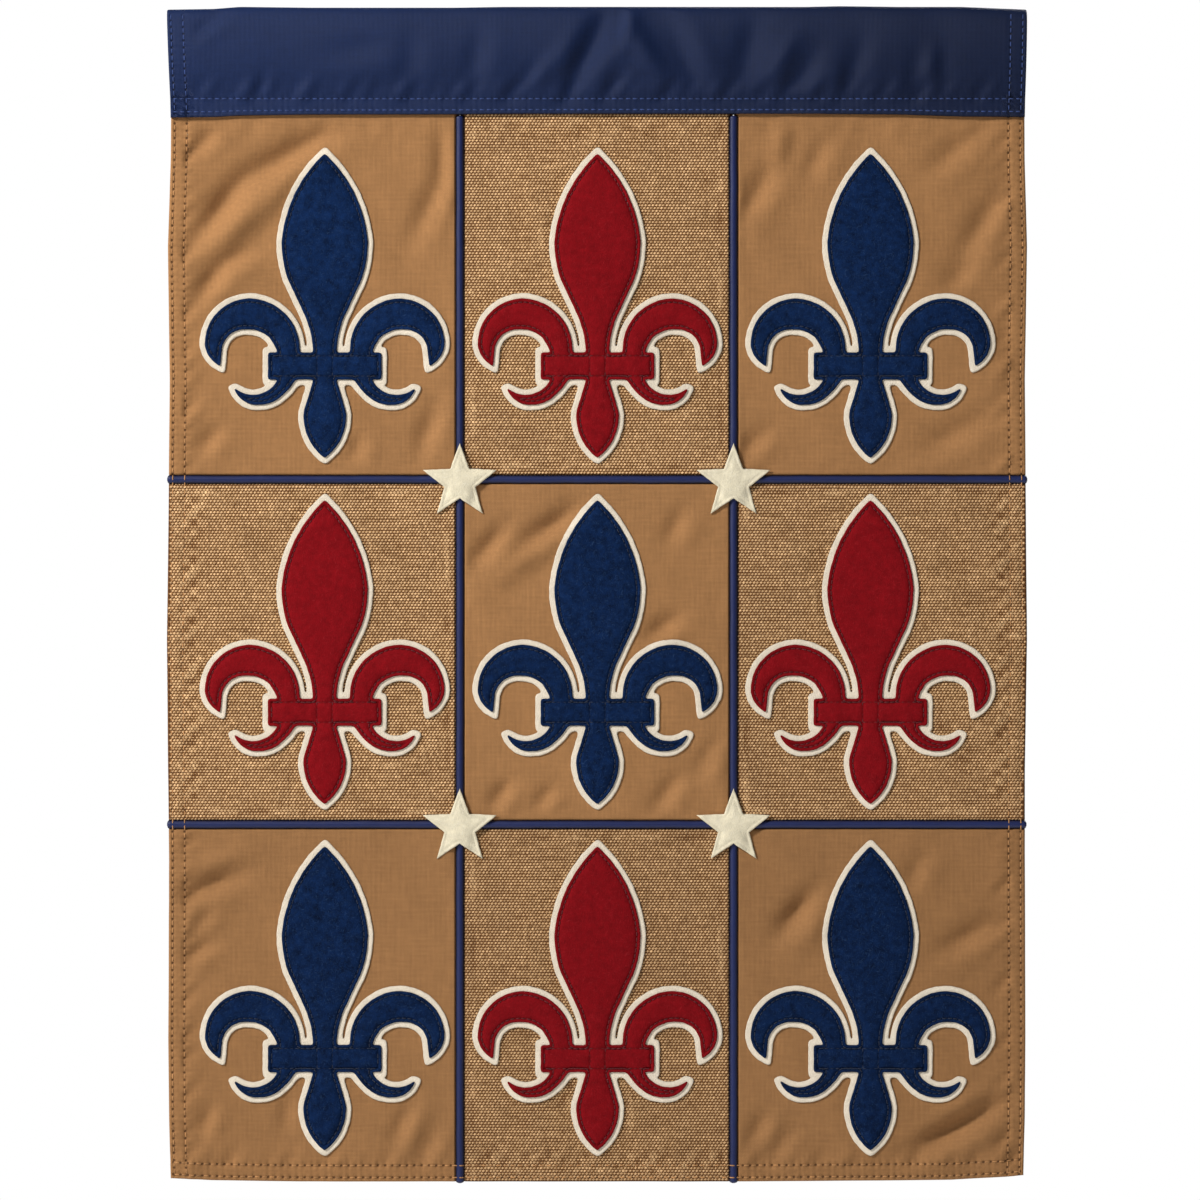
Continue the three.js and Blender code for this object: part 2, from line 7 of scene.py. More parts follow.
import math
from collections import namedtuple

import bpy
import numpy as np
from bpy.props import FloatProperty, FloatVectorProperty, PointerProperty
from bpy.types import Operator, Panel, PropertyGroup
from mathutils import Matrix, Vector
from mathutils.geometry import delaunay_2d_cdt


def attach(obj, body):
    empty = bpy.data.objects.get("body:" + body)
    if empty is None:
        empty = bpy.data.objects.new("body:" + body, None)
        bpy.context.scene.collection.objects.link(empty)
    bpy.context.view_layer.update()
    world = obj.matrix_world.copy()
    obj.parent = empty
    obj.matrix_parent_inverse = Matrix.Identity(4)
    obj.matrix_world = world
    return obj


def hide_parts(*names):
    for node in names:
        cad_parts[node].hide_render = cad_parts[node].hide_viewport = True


bl_info = {
    "name": "Garden Flag",
    "version": (1, 0, 0),
    "blender": (4, 5, 0),
    "location": "3D View > Sidebar > Garden Flag",
    "description": "Builds a small hanging patchwork flag with felt motifs, piping and a rod sleeve",
    "category": "Add Mesh",
}

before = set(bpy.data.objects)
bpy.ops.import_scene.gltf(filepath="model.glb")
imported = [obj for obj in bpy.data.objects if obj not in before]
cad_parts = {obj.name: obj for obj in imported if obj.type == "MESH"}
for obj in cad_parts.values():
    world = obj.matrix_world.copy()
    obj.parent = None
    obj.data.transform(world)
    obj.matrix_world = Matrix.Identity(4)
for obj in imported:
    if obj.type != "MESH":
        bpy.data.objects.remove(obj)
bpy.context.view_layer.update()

MM = 0.001
BODY = "root"

# Sizes shared with the solids, in millimetres.
SEAM_LINE = -46.0
BODY_TOP = -35.7
GAP = 0.3
PIPING_ROUND = 1.6
PIPING_PAST_EDGE = 0.6
PIPING_X = {"left": -52.6, "right": 52.4}
PIPING_Z = {"upper": -181.3, "lower": -313.7}
BODY_FOOT = -450.7
SLEEVE_FOOT = -41.4
SLEEVE_WEB = -35.4
SLEEVE_FILL = 6.0
SLEEVE_SEAM = -37.0
SLEEVE_CROWN = -12.0
SLEEVE_END = {"left": (-164.9, -163.4), "right": (164.9, 164.1)}
MOTIF_X = {"left": -104.4, "mid": 0.2, "right": 104.9}
MOTIF_Z = {"top": -137.8, "mid": -270.6, "foot": -403.4}
BORDER_WIDE = 2.05
STAR_TIP = 15.0
STAR_NOTCH = 6.3
STAR_BELOW = 1.0
ROWS = ("top", "mid", "foot")
COLUMNS = ("left", "mid", "right")

# The panel's faces, as distances behind the cloth's middle surface.
CLOTH_FRONT = -0.6
CLOTH_BACK = 0.3
YARN_FRONT = -0.42
# How far the panel reaches under a cord beside it, and how deep its edge is turned back there.
LIP_REACH = 1.65
LIP_DEEP = 2.6
# A cord is a little flattened between the cloths.
CORD_OUT = 0.05
CORD_FLAT = 0.85
# The creases and the puckers are this much deeper than they are listed or worked out.
CREASE_SCALE = 1.95
PUCKER_SCALE = 2.0
# The rows of stitches on the sleeve's ends, as distances from its end.
END_ROWS = (1.6, 6.2)
# The distance to a row of stitches where there is none.
NO_ROW = 50.0

Swell = namedtuple("Swell", "x z wide high out")
SWELLS = (
    Swell(-150, -110, 34, 60, 1.1),
    Swell(-92, -150, 40, 46, -1.0),
    Swell(-8, -95, 38, 40, 1.2),
    Swell(60, -140, 32, 60, -0.9),
    Swell(128, -96, 38, 44, 1.0),
    Swell(-128, -246, 42, 40, 1.3),
    Swell(-62, -226, 26, 44, -0.8),
    Swell(14, -252, 36, 36, 1.0),
    Swell(84, -262, 34, 52, -1.1),
    Swell(146, -226, 30, 46, 1.0),
    Swell(-112, -356, 38, 42, -1.0),
    Swell(-20, -372, 40, 48, 1.2),
    Swell(52, -404, 34, 38, -0.8),
    Swell(118, -372, 36, 42, 1.1),
    Swell(-160, -440, 30, 34, 1.5),
    Swell(160, -448, 30, 30, -1.4),
)

# Creases of the plain cloth. A positive depth is a trough, a negative one a ridge.
Crease = namedtuple("Crease", "x z angle long wide deep")
CREASES = (
    # Top left panel.
    Crease(-144, -77, 51, 14, 5.0, 2.0),
    Crease(-119, -57, 29, 20, 5.2, 2.0),
    Crease(-132, -80, 36, 22, 5.0, -0.8),
    Crease(-150, -51, 46, 6, 3.2, 0.8),
    Crease(-148, -105, 53, 9, 4.0, 1.4),
    Crease(-138, -96, 24, 7, 4.0, 0.9),
    Crease(-149, -166, 45, 6, 3.4, 0.9),
    Crease(-65, -162, 70, 10, 4.2, 1.0),
    Crease(-92, -169, 68, 5, 3.2, 0.7),
    Crease(-64, -75, 64, 16, 4.6, 1.0),
    Crease(-60, -57, 88, 10, 3.2, 0.8),
    # Top right panel.
    Crease(62, -70, 58, 14, 4.6, 1.1),
    Crease(70, -55, 75, 9, 3.6, -0.7),
    Crease(84, -58, 62, 8, 4.0, 0.7),
    Crease(137, -55, 38, 12, 4.6, 0.9),
    Crease(147, -84, 58, 15, 5.0, 1.1),
    Crease(139, -103, 42, 9, 4.0, 0.6),
    Crease(60, -167, 40, 8, 3.6, 0.9),
    Crease(138, -163, 26, 15, 5.0, 0.9),
    # Middle panel.
    Crease(-41, -206, 49, 9, 3.8, 1.4),
    Crease(-17, -199, 31, 13, 4.6, 1.9),
    Crease(-28, -212, 38, 15, 4.4, -0.7),
    Crease(30, -199, 60, 7, 3.8, 0.8),
    Crease(25, -238, 36, 8, 3.8, 1.2),
    Crease(-37, -302, 52, 6, 3.2, 1.1),
    Crease(-20, -303, 48, 5, 3.0, 0.9),
    Crease(27, -301, 52, 8, 3.6, 1.0),
    Crease(42, -288, 60, 9, 4.0, 0.7),
    # Bottom left panel.
    Crease(-147, -329, 16, 12, 4.2, -0.9),
    Crease(-150, -338, 24, 12, 4.2, 1.1),
    Crease(-153, -362, 32, 6, 3.2, 1.0),
    Crease(-151, -349, 38, 5, 3.0, 0.7),
    Crease(-75, -428, 64, 9, 3.2, 0.7),
    Crease(-70, -432, 66, 9, 3.0, -0.5),
    Crease(-64, -436, 62, 8, 3.2, 0.5),
    Crease(-150, -427, 68, 6, 3.0, 0.9),
    Crease(-119, -424, 84, 7, 3.4, 0.7),
    # Bottom right panel.
    Crease(77, -347, 49, 11, 4.6, 1.9),
    Crease(88, -352, 47, 10, 4.0, -0.7),
    Crease(143, -356, 27, 12, 4.4, 1.4),
    Crease(137, -430, 30, 19, 5.0, 2.1),
    Crease(140, -422, 30, 17, 4.4, -0.8),
    Crease(62, -430, 61, 6, 3.4, 1.0),
    Crease(70, -437, 55, 8, 3.6, 0.7),
    Crease(122, -331, 55, 8, 4.0, 0.7),
)

# Folds in the face of the sleeve, in the same columns.
SLEEVE_FOLDS = (
    Crease(-3, -17, 62, 20, 5.0, 1.7),
    Crease(-14, -22, 64, 13, 4.4, -0.8),
    Crease(8.6, -6, 78, 9, 2.4, 1.1),
    Crease(19, -19, 122, 15, 5.0, -1.2),
    Crease(7, -30, 60, 7, 3.4, 0.9),
    Crease(34, -20, 115, 14, 4.6, 1.2),
    Crease(57, -20, 76, 14, 5.6, 1.0),
    Crease(70, -23, 64, 12, 4.2, -1.1),
    Crease(79, -27, 62, 12, 4.2, 1.0),
    Crease(90, -30, 62, 8, 3.4, -0.8),
    Crease(98, -24, 70, 12, 4.4, 0.7),
    Crease(121, -27, 84, 9, 3.6, 0.6),
    Crease(128, -24, 86, 8, 3.0, -0.7),
    Crease(-150, -7, 35, 10, 3.0, 0.6),
    Crease(-91, -16, 6, 13, 5.6, 0.6),
    Crease(-72, -22, 84, 12, 5.4, 0.6),
    Crease(-47, -21, 80, 12, 5.0, 0.8),
    Crease(-28, -29, 56, 8, 3.0, 0.7),
    Crease(-22, -27, 56, 9, 3.0, -0.7),
    Crease(-129, -31, 74, 5, 2.4, 0.7),
)

Edge = namedtuple("Edge", "z left right")
SIDE_EDGES = (
    Edge(-35, -163.4, 164.0),
    Edge(-58, -163.5, 164.1),
    Edge(-92, -164.6, 165.0),
    Edge(-143, -163.9, 164.2),
    Edge(-212, -164.6, 164.7),
    Edge(-243, -165.0, 165.0),
    Edge(-293, -164.6, 164.2),
    Edge(-327, -164.2, 164.2),
    Edge(-396, -164.5, 164.4),
    Edge(-427, -164.1, 164.2),
    Edge(-452, -163.4, 163.6),
)
FootPoint = namedtuple("FootPoint", "x z")
FOOT_EDGE = (
    FootPoint(-166, -449.2),
    FootPoint(-147, -450.1),
    FootPoint(-114, -450.7),
    FootPoint(58, -450.7),
    FootPoint(136, -450.1),
    FootPoint(157, -449.0),
    FootPoint(166, -448.1),
)
SleeveEdge = namedtuple("SleeveEdge", "x top foot")
SLEEVE_EDGES = (
    SleeveEdge(-167, -1.1, -1.2),
    SleeveEdge(-147, -0.8, -1.0),
    SleeveEdge(-137, 0, -0.4),
    SleeveEdge(-110, -0.3, 0),
    SleeveEdge(-54, -0.3, 0.1),
    SleeveEdge(-36, 0, 0.3),
    SleeveEdge(0, 0, 0.3),
    SleeveEdge(80, 0, 0.3),
    SleeveEdge(93, 0.3, 0.2),
    SleeveEdge(116, 0, 0),
    SleeveEdge(140, 0, -0.8),
    SleeveEdge(167, -1.1, -0.9),
)
# Upright folds that pinch the sleeve's tube.
Pinch = namedtuple("Pinch", "x wide pinch")
PINCHES = (
    Pinch(-118, 16, 0.07),
    Pinch(-60, 12, 0.09),
    Pinch(2, 7, 0.16),
    Pinch(24, 8, 0.1),
    Pinch(62, 10, 0.12),
    Pinch(98, 9, 0.08),
    Pinch(130, 9, 0.11),
)
# Half of the sleeve's section, from its lower edge up to the crown.
SectionPoint = namedtuple("SectionPoint", "y z")
SLEEVE_SECTION = (
    SectionPoint(1.9, -41.4),
    SectionPoint(1.9, -38.6),
    SectionPoint(2.0, -36.2),
    SectionPoint(3.4, -31),
    SectionPoint(4.9, -24),
    SectionPoint(5.5, -16),
    SectionPoint(5.0, -8),
    SectionPoint(3.6, -3),
    SectionPoint(1.8, -0.6),
    SectionPoint(0, 0),
)

# Fleur-de-lis, right half, from the middle of its band, anticlockwise. bow is how far the stretch
# up to a corner bulges outwards.
Corner = namedtuple("Corner", "x z bow")
PETAL = (
    Corner(4.4, 0, 0),
    Corner(4.4, 5.2, 0),
    Corner(6.9, 17.7, -0.5),
    Corner(14.3, 33.5, 0),
    Corner(16.6, 47.8, 0.6),
    Corner(0, 81.6, 3.5),
)
FOOT_PETAL = (
    Corner(0, -35.4, 0),
    Corner(8.2, -17.8, 2.5),
    Corner(4.4, -5.2, 0.3),
    Corner(4.4, 0, 0),
)
UPPER_CURL = (
    Corner(9.6, 0, 0),
    Corner(18.1, 0, 0),
    Corner(18.1, 5.2, 0),
    Corner(21.0, 10.7, -0.2),
    Corner(30.5, 13.95, -1.1),
    Corner(39.3, 6.9, -2.1),
    Corner(40.0, -0.1, -0.15),
    Corner(46.0, 8.0, 1.3),
    Corner(28.1, 25.9, 5.45),
    Corner(9.6, 5.2, 5.8),
)
LOWER_CURL = (
    Corner(11.2, 0, 0),
    Corner(11.2, -5.3, 0),
    Corner(16.7, -11.8, 0.35),
    Corner(25.8, -14.95, 0.95),
    Corner(34.7, -8.9, 1.75),
    Corner(34.2, -8.7, 0),
    Corner(27.5, -11.1, -0.6),
    Corner(18.1, -5.3, -1.5),
    Corner(18.1, 0, 0),
)
BAND_HALF_WIDE = 21.8
BAND_HALF_HIGH = 5.2
BOW_TURN = 0.13
# How far a tip reaches past its corner, as a share of the border, for plain and for thin tips.
MITRE_LIMIT = 1.5
THIN_TIP_LIMIT = 1.12
THIN_TIP = 2.9


def tone(red, green, blue):
    """A colour given as it looks on a screen, 0 to 255, as the linear numbers that shaders use."""
    def linear(value):
        share = value / 255
        return share / 12.92 if share <= 0.04045 else ((share + 0.055) / 1.055) ** 2.4
    return (linear(red), linear(green), linear(blue))


def length_property(name, description, millimetres):
    return FloatProperty(name=name, description=description, default=millimetres * MM, min=0.0,
                         precision=5, subtype="DISTANCE", unit="LENGTH")


def colour_property(name, description, red, green, blue):
    return FloatVectorProperty(name=name, description=description, default=tone(red, green, blue),
                               min=0.0, max=1.0, size=3, subtype="COLOR")


class FlagSizes(PropertyGroup):
    """Sizes of the sewing and the cloth."""

    panel_step: length_property("Panel mesh step", "Distance between the points of a plain panel", 1.75)
    coarse_step: length_property("Coarse mesh step", "Distance between points under the coarse yarns", 2.9)
    hem_wide: length_property("Hem width", "How far the hem is folded to the back", 7.2)
    hem_thick: length_property("Hem thickness", "Thickness of the folded layer", 0.8)
    hem_outer_row: length_property("Outer hem row", "From the edge to the outer row of stitches", 1.6)
    hem_inner_row: length_property("Inner hem row", "From the edge to the inner row of stitches", 6.2)
    hem_stitch: length_property("Hem stitch", "Length of a hem stitch with the space after it", 2.8)
    sleeve_low_row: length_property("Lower sleeve row", "Height of the lower row over the lower edge", 1.7)
    sleeve_high_row: length_property("Upper sleeve row", "Height of the upper row over the lower edge", 6.0)
    sleeve_stitch: length_property("Sleeve stitch", "Length of a sleeve stitch with the space after it", 2.67)
    thread_round: length_property("Thread radius", "Radius of the sewing thread", 0.23)
    felt_thick: length_property("Felt thickness", "Thickness of each felt", 0.52)
    felt_seam: length_property("Felt seam", "Distance of the stitch line from the felt's edge", 1.45)
    felt_stitch: length_property("Felt stitch", "Length of a stitch on the felt with the space after it", 2.1)
    weft_pitch: length_property("Coarse weft pitch", "Height of a row of the coarse weave", 1.08)
    warp_pitch: length_property("Coarse warp pitch", "Width of one repeat of the coarse weave", 1.34)
    fine_pitch: length_property("Fine thread pitch", "Distance between the threads of the plain cloth", 0.48)


class FlagColours(PropertyGroup):
    """Colours of the cloths, felts and threads."""

    navy: colour_property("Sleeve cloth", "Dark blue cloth of the sleeve", 22, 39, 79)
    cord: colour_property("Piping cloth", "Dark blue cloth round the cord", 20, 33, 84)
    plain: colour_property("Plain cloth", "Tan cloth of the plain panels", 172, 124, 78)
    coarse_yarn: colour_property("Coarse yarn", "Light yarn of the coarse cloth", 232, 191, 142)
    coarse_warp: colour_property("Coarse warp", "Yarn that shows between the light ones", 164, 116, 66)
    # Painted shade in the holes between the coarse yarns.
    coarse_gap_shade: colour_property("Coarse gaps", "Holes between the coarse yarns", 92, 56, 25)
    cream: colour_property("Cream felt", "Felt behind the motifs", 232, 219, 199)
    star: colour_property("Star felt", "Felt of the stars", 229, 219, 192)
    blue: colour_property("Blue felt", "Felt of the blue motifs", 10, 32, 68)
    red: colour_property("Red felt", "Felt of the red motifs", 127, 12, 20)
    tan_thread: colour_property("Hem thread", "Thread of the hems", 176, 128, 80)
    sleeve_thread: colour_property("Sleeve thread", "Thread of the sleeve", 48, 70, 126)
    # Painted shade in the needle holes.
    hole: colour_property("Needle holes", "Shade in the needle holes", 62, 34, 14)


# Surfaces of the cloth. All take and give millimetres, and work on whole arrays of points.


def bell(distance, reach):
    return np.exp(-((distance / reach) ** 2))


def nearest(place, *lines):
    """Distance to the nearest of the lines."""
    return np.minimum.reduce([np.abs(place - line) for line in lines])


def unit(vectors):
    return vectors / np.linalg.norm(vectors, axis=-1)[..., None]


def reach_along(line):
    """How far along a line of points each point is."""
    return np.concatenate(([0], np.cumsum(np.linalg.norm(np.diff(line, axis=0), axis=1))))


def along(rows, key, name, value):
    """Reads a value from a table of rows that rise or fall in the key."""
    places = np.array([getattr(row, key) for row in rows], float)
    values = np.array([getattr(row, name) for row in rows], float)
    order = np.argsort(places)
    return np.interp(value, places[order], values[order])


def ripple(place, seed, lengths=(7.5, 12.0, 19.0, 31.0)):
    """An uneven wave along a seam, between about -1 and 1."""
    phases = np.random.default_rng(seed).uniform(0, 2 * math.pi, len(lengths))
    waves = [np.sin(2 * math.pi * place / size + phase) for size, phase in zip(lengths, phases)]
    return sum(waves) / 2.2


def fold_sum(rows, x, z):
    total = np.zeros_like(x)
    for row in rows:
        turn = math.radians(row.angle)
        u = (x - row.x) * math.cos(turn) + (z - row.z) * math.sin(turn)
        v = (z - row.z) * math.cos(turn) - (x - row.x) * math.sin(turn)
        # A trough pushes up a low ridge on its lower side.
        across = bell(v, 0.88 * row.wide) - 0.4 * bell(v + 1.6 * row.wide, row.wide)
        total += row.deep * bell(u, row.long) * across
    return total


def hang(x, z):
    """The broad shape of the cloth, as distance behind the plane y = 0."""
    seamed = np.minimum(z, SEAM_LINE)
    total = np.zeros_like(x)
    for row in SWELLS:
        total -= row.out * bell(x - row.x, row.wide) * bell(seamed - row.z, row.high)
    return total


def smooth_step(value):
    share = np.clip(value, 0, 1)
    return share * share * (3 - 2 * share)


def seam_distance(x, z):
    """Distance to the nearest line of piping."""
    return np.minimum(nearest(x, *PIPING_X.values()), nearest(z, *PIPING_Z.values()))


def puckers(x, z, sizes):
    """Small puckers that run in from the hems, the piping and the sleeve."""
    row = sizes.hem_inner_row / MM
    left = x - along(SIDE_EDGES, "z", "left", z) - row
    right = along(SIDE_EDGES, "z", "right", z) - x - row
    foot = z - along(FOOT_EDGE, "x", "z", x) - row
    top = SLEEVE_FOOT - z
    total = 0.34 * bell(left - 2.4, 3.6) * (left > -1) * ripple(z - 0.9 * x, 3)
    total += 0.34 * bell(right - 2.4, 3.6) * (right > -1) * ripple(z - 0.8 * x, 5)
    total += 0.30 * bell(foot - 2.0, 3.6) * (foot > -1) * ripple(x - 0.6 * z, 7)
    total += 0.32 * bell(top - 1.0, 6.0) * (top > -2) * ripple(x - 0.35 * z, 11, (9.0, 14.0, 22.0, 37.0))
    for k, line in enumerate(PIPING_Z.values()):
        total += 0.10 * bell(np.abs(z - line) - 3.0, 3.0) * ripple(x - 0.4 * z, 13 + k)
    for k, line in enumerate(PIPING_X.values()):
        total += 0.10 * bell(np.abs(x - line) - 3.0, 3.0) * ripple(z - 0.4 * x, 17 + k)
    return total


def drape(x, z, weave, sizes):
    """The cloth's middle surface, as distance behind the plane y = 0."""
    held = smooth_step((seam_distance(x, z) - PIPING_ROUND) / 4) * smooth_step((SEAM_LINE + 5 - z) / 9)
    calm = 1 - 0.55 * smooth_step(1 - backing_distance(x, z) / 4)
    plain = hang(x, z) + 0.3 * ripple(x + 0.7 * z, 23, (26.0, 41.0, 63.0)) * held * calm
    small = puckers(x, z, sizes)
    if weave == "coarse":
        lumps = 0.22 * ripple(x - 0.5 * z, 29, (21.0, 34.0, 55.0)) * ripple(z + 0.3 * x, 31, (24.0, 39.0))
        return plain + held * calm * (0.6 * small + lumps)
    return plain + held * calm * (CREASE_SCALE * fold_sum(CREASES, x, z) + PUCKER_SCALE * small)


def weave_of(row, column):
    return "plain" if (ROWS.index(row) + COLUMNS.index(column)) % 2 == 0 else "coarse"


# Outlines of the felts, in millimetres from the middle of the motif's band.


def bowed(corners):
    """Turns rows of corners into points, with an arc where a row has a bow."""
    points = []
    for k, row in enumerate(corners):
        before = corners[k - 1]
        chord = math.hypot(row.x - before.x, row.z - before.z)
        if row.bow != 0 and chord > 0:
            turn = 4 * math.atan(2 * row.bow / chord)
            steps = max(1, round(abs(turn) / BOW_TURN))
            radius = chord / (2 * math.sin(turn / 2))
            heading = math.atan2(row.z - before.z, row.x - before.x) - turn / 2
            for step in range(1, steps):
                part = turn * step / steps
                reach = 2 * radius * math.sin(part / 2)
                course = heading + part / 2
                points.append((before.x + reach * math.cos(course), before.z + reach * math.sin(course)))
        points.append((row.x, row.z))
    return points


def mirrored(outline):
    return [(-x, z) for x, z in reversed(outline)]


def symmetric(corners):
    half = bowed(corners)
    return half + [p for p in mirrored(half) if p[0] < 0]


def grown(outline, border):
    """Moves every side of an anticlockwise outline outwards, with short flat tips on sharp corners."""
    moved = []
    count = len(outline)
    for k in range(count):
        point = np.array(outline[k])
        into = point - np.array(outline[k - 1])
        away = np.array(outline[(k + 1) % count]) - point
        into = into / np.linalg.norm(into)
        away = away / np.linalg.norm(away)
        first = np.array((into[1], -into[0]))
        second = np.array((away[1], -away[0]))
        middle = (first + second) / np.linalg.norm(first + second)
        cosine = float(middle @ first)
        sine = float(middle @ into)
        limit = MITRE_LIMIT if 1 / cosine < THIN_TIP else THIN_TIP_LIMIT
        if sine <= 0 or 1 / cosine <= limit:
            moved.append(tuple(point + border * middle / cosine))
            continue
        slide = (limit - cosine) / sine
        moved.append(tuple(point + border * (first + slide * into)))
        moved.append(tuple(point + border * (second - slide * away)))
    return moved


def motif_parts(border):
    """The outlines that together make the motif, or its backing when they are grown by a border."""
    wide, high = BAND_HALF_WIDE, BAND_HALF_HIGH
    band = [(-wide, -high), (wide, -high), (wide, high), (-wide, high)]
    curls = [bowed(UPPER_CURL), bowed(LOWER_CURL)]
    parts = [band, symmetric(PETAL), symmetric(FOOT_PETAL), *curls, *map(mirrored, curls)]
    return [grown(part, border) for part in parts] if border > 0 else parts


def star_outline():
    tips = []
    for k in range(10):
        turn = math.pi / 2 + math.pi * k / 5
        reach = STAR_TIP if k % 2 == 0 else STAR_NOTCH
        tips.append((reach * math.cos(turn), reach * math.sin(turn)))
    return tips


def joined_edge(parts):
    """The closed edge round several overlapping outlines, as an anticlockwise list of points."""
    points = []
    faces = []
    for part in parts:
        faces.append(list(range(len(points), len(points) + len(part))))
        points.extend(part)
    made = delaunay_2d_cdt([Vector(p) for p in points], [], faces, 1, 1e-5)
    places = [tuple(p) for p in made[0]]
    after = {}
    sides = set()
    for face in made[2]:
        for k in range(3):
            sides.add((face[k], face[(k + 1) % 3]))
    for a, b in sides:
        if (b, a) not in sides:
            after[a] = b
    start = min(after)
    edge = [start]
    while after[edge[-1]] != start:
        edge.append(after[edge[-1]])
    return without_slivers([np.array(places[k]) for k in edge])


def without_slivers(edge):
    """Drops points that lie close together, and notches too narrow to cut."""
    k = 0
    while k < len(edge):
        before = edge[k - 1] - edge[k]
        after = edge[(k + 1) % len(edge)] - edge[k]
        lengths = np.linalg.norm(before), np.linalg.norm(after)
        if min(lengths) < 0.3 or before @ after > 0.93 * lengths[0] * lengths[1]:
            del edge[k]
            k = max(0, k - 2)
        else:
            k += 1
    return np.array(edge)


def divided(edge, step):
    """The same closed edge with no side longer than the step."""
    points = []
    for k in range(len(edge)):
        a = edge[k]
        b = edge[(k + 1) % len(edge)]
        count = max(1, math.ceil(np.linalg.norm(b - a) / step))
        points.extend(a + (b - a) * s / count for s in range(count))
    return np.array(points)


def softened(edge, passes):
    """The same closed edge with its corners worn round."""
    for _ in range(passes):
        edge = (np.roll(edge, 1, axis=0) + 2 * edge + np.roll(edge, -1, axis=0)) / 4
    return edge


def line_distance(places, starts, ends):
    """Distance from every place to the nearest of the lines."""
    nearest = np.full(len(places), 1e9)
    for a, b in zip(starts, ends):
        side = b - a
        share = np.clip(((places - a) @ side) / max(float(side @ side), 1e-12), 0, 1)
        nearest = np.minimum(nearest, np.linalg.norm(places - a - share[:, None] * side, axis=1))
    return nearest


def edge_distance(places, edge):
    return line_distance(places, edge, np.roll(edge, -1, axis=0))


def is_inside(places, edge):
    x, z = places[:, 0], places[:, 1]
    odd = np.zeros(len(places), bool)
    for (xa, za), (xb, zb) in zip(edge, np.roll(edge, -1, axis=0)):
        crosses = (za > z) != (zb > z)
        with np.errstate(divide="ignore", invalid="ignore"):
            meets = xa + (z - za) * (xb - xa) / (zb - za)
        odd ^= crosses & (x < meets)
    return odd


BACKING_EDGE = joined_edge(motif_parts(BORDER_WIDE))
MOTIF_EDGE = joined_edge(motif_parts(0))
STAR_EDGE = np.array(star_outline())


def backing_distance(x, z):
    """How far a point lies outside the nearest backing, in millimetres, and 0 on it."""
    flat_x, flat_z = x.ravel(), z.ravel()
    centres_x = np.array(list(MOTIF_X.values()))
    centres_z = np.array(list(MOTIF_Z.values()))
    near_x = centres_x[np.argmin(np.abs(flat_x[:, None] - centres_x), axis=1)]
    # The motif reaches much higher over its band than under it.
    above = flat_z[:, None] - centres_z
    near_z = centres_z[np.argmin(np.abs(above - 23), axis=1)]
    places = np.stack((flat_x - near_x, flat_z - near_z), axis=1)
    distance = edge_distance(places, BACKING_EDGE)
    distance[is_inside(places, BACKING_EDGE)] = 0
    return distance.reshape(x.shape)


# Meshes.


def place_object(name, mesh, material, nodes=()):
    piece = bpy.data.objects.new(name, mesh)
    bpy.context.scene.collection.objects.link(piece)
    mesh.materials.append(material)
    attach(piece, BODY)
    if nodes:
        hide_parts(*nodes)
    return piece


def make_mesh(name, points, faces, attributes=None):
    """A smooth mesh from points in millimetres and arrays of faces with equal numbers of corners."""
    mesh = bpy.data.meshes.new(name)
    points = np.asarray(points, float) * MM
    faces = [np.asarray(part, np.int32) for part in faces if len(part)]
    corners = np.concatenate([part.ravel() for part in faces])
    sizes = np.concatenate([np.full(len(part), part.shape[1], np.int32) for part in faces])
    starts = np.concatenate(([0], np.cumsum(sizes)[:-1])).astype(np.int32)
    mesh.vertices.add(len(points))
    mesh.vertices.foreach_set("co", points.astype(np.float32).ravel())
    mesh.loops.add(len(corners))
    mesh.loops.foreach_set("vertex_index", corners)
    mesh.polygons.add(len(sizes))
    mesh.polygons.foreach_set("loop_start", starts)
    mesh.update(calc_edges=True)
    mesh.validate()
    mesh.shade_smooth()
    for key, values in (attributes or {}).items():
        values = np.asarray(values, np.float32)
        if values.ndim == 1:
            mesh.attributes.new(key, "FLOAT", "POINT").data.foreach_set("value", values)
        else:
            mesh.attributes.new(key, "FLOAT_VECTOR", "POINT").data.foreach_set("vector", values.ravel())
    return mesh


def closed_grid(front, back):
    """Points and faces of a closed sheet between two grids of points, rows running down and columns
    to the right, seen from the front."""
    down, across = front.shape[:2]
    points = np.concatenate((front.reshape(-1, 3), back.reshape(-1, 3)))
    index = np.arange(down * across).reshape(down, across)
    behind = index + down * across
    faces = [
        np.stack((index[:-1, :-1], index[1:, :-1], index[1:, 1:], index[:-1, 1:]), -1),
        np.stack((behind[:-1, :-1], behind[:-1, 1:], behind[1:, 1:], behind[1:, :-1]), -1),
        np.stack((index[0, :-1], index[0, 1:], behind[0, 1:], behind[0, :-1]), -1),
        np.stack((index[-1, 1:], index[-1, :-1], behind[-1, :-1], behind[-1, 1:]), -1),
        np.stack((index[1:, 0], index[:-1, 0], behind[:-1, 0], behind[1:, 0]), -1),
        np.stack((index[:-1, -1], index[1:, -1], behind[1:, -1], behind[:-1, -1]), -1),
    ]
    return points, [part.reshape(-1, 4) for part in faces]


# Panels.

HEM_LINES = (0, 0.1, 0.3, 0.6, 0.9, 1.25, 1.6, 1.95, 2.6, 3.9, 5.2, 5.85, 6.2, 6.55, 7.0, 7.25, 7.5, 8.4)
SEAM_LINES = (-LIP_REACH, -1.35, -1.0, -0.6, -0.25, 0.0, 0.25, 0.5, 1.0, 1.7)
TOP_LINES = (0, 0.6)
LINE_SETS = {"hem": HEM_LINES, "seam": SEAM_LINES, "top": TOP_LINES}
HEM_FACE_ROUND = 0.85
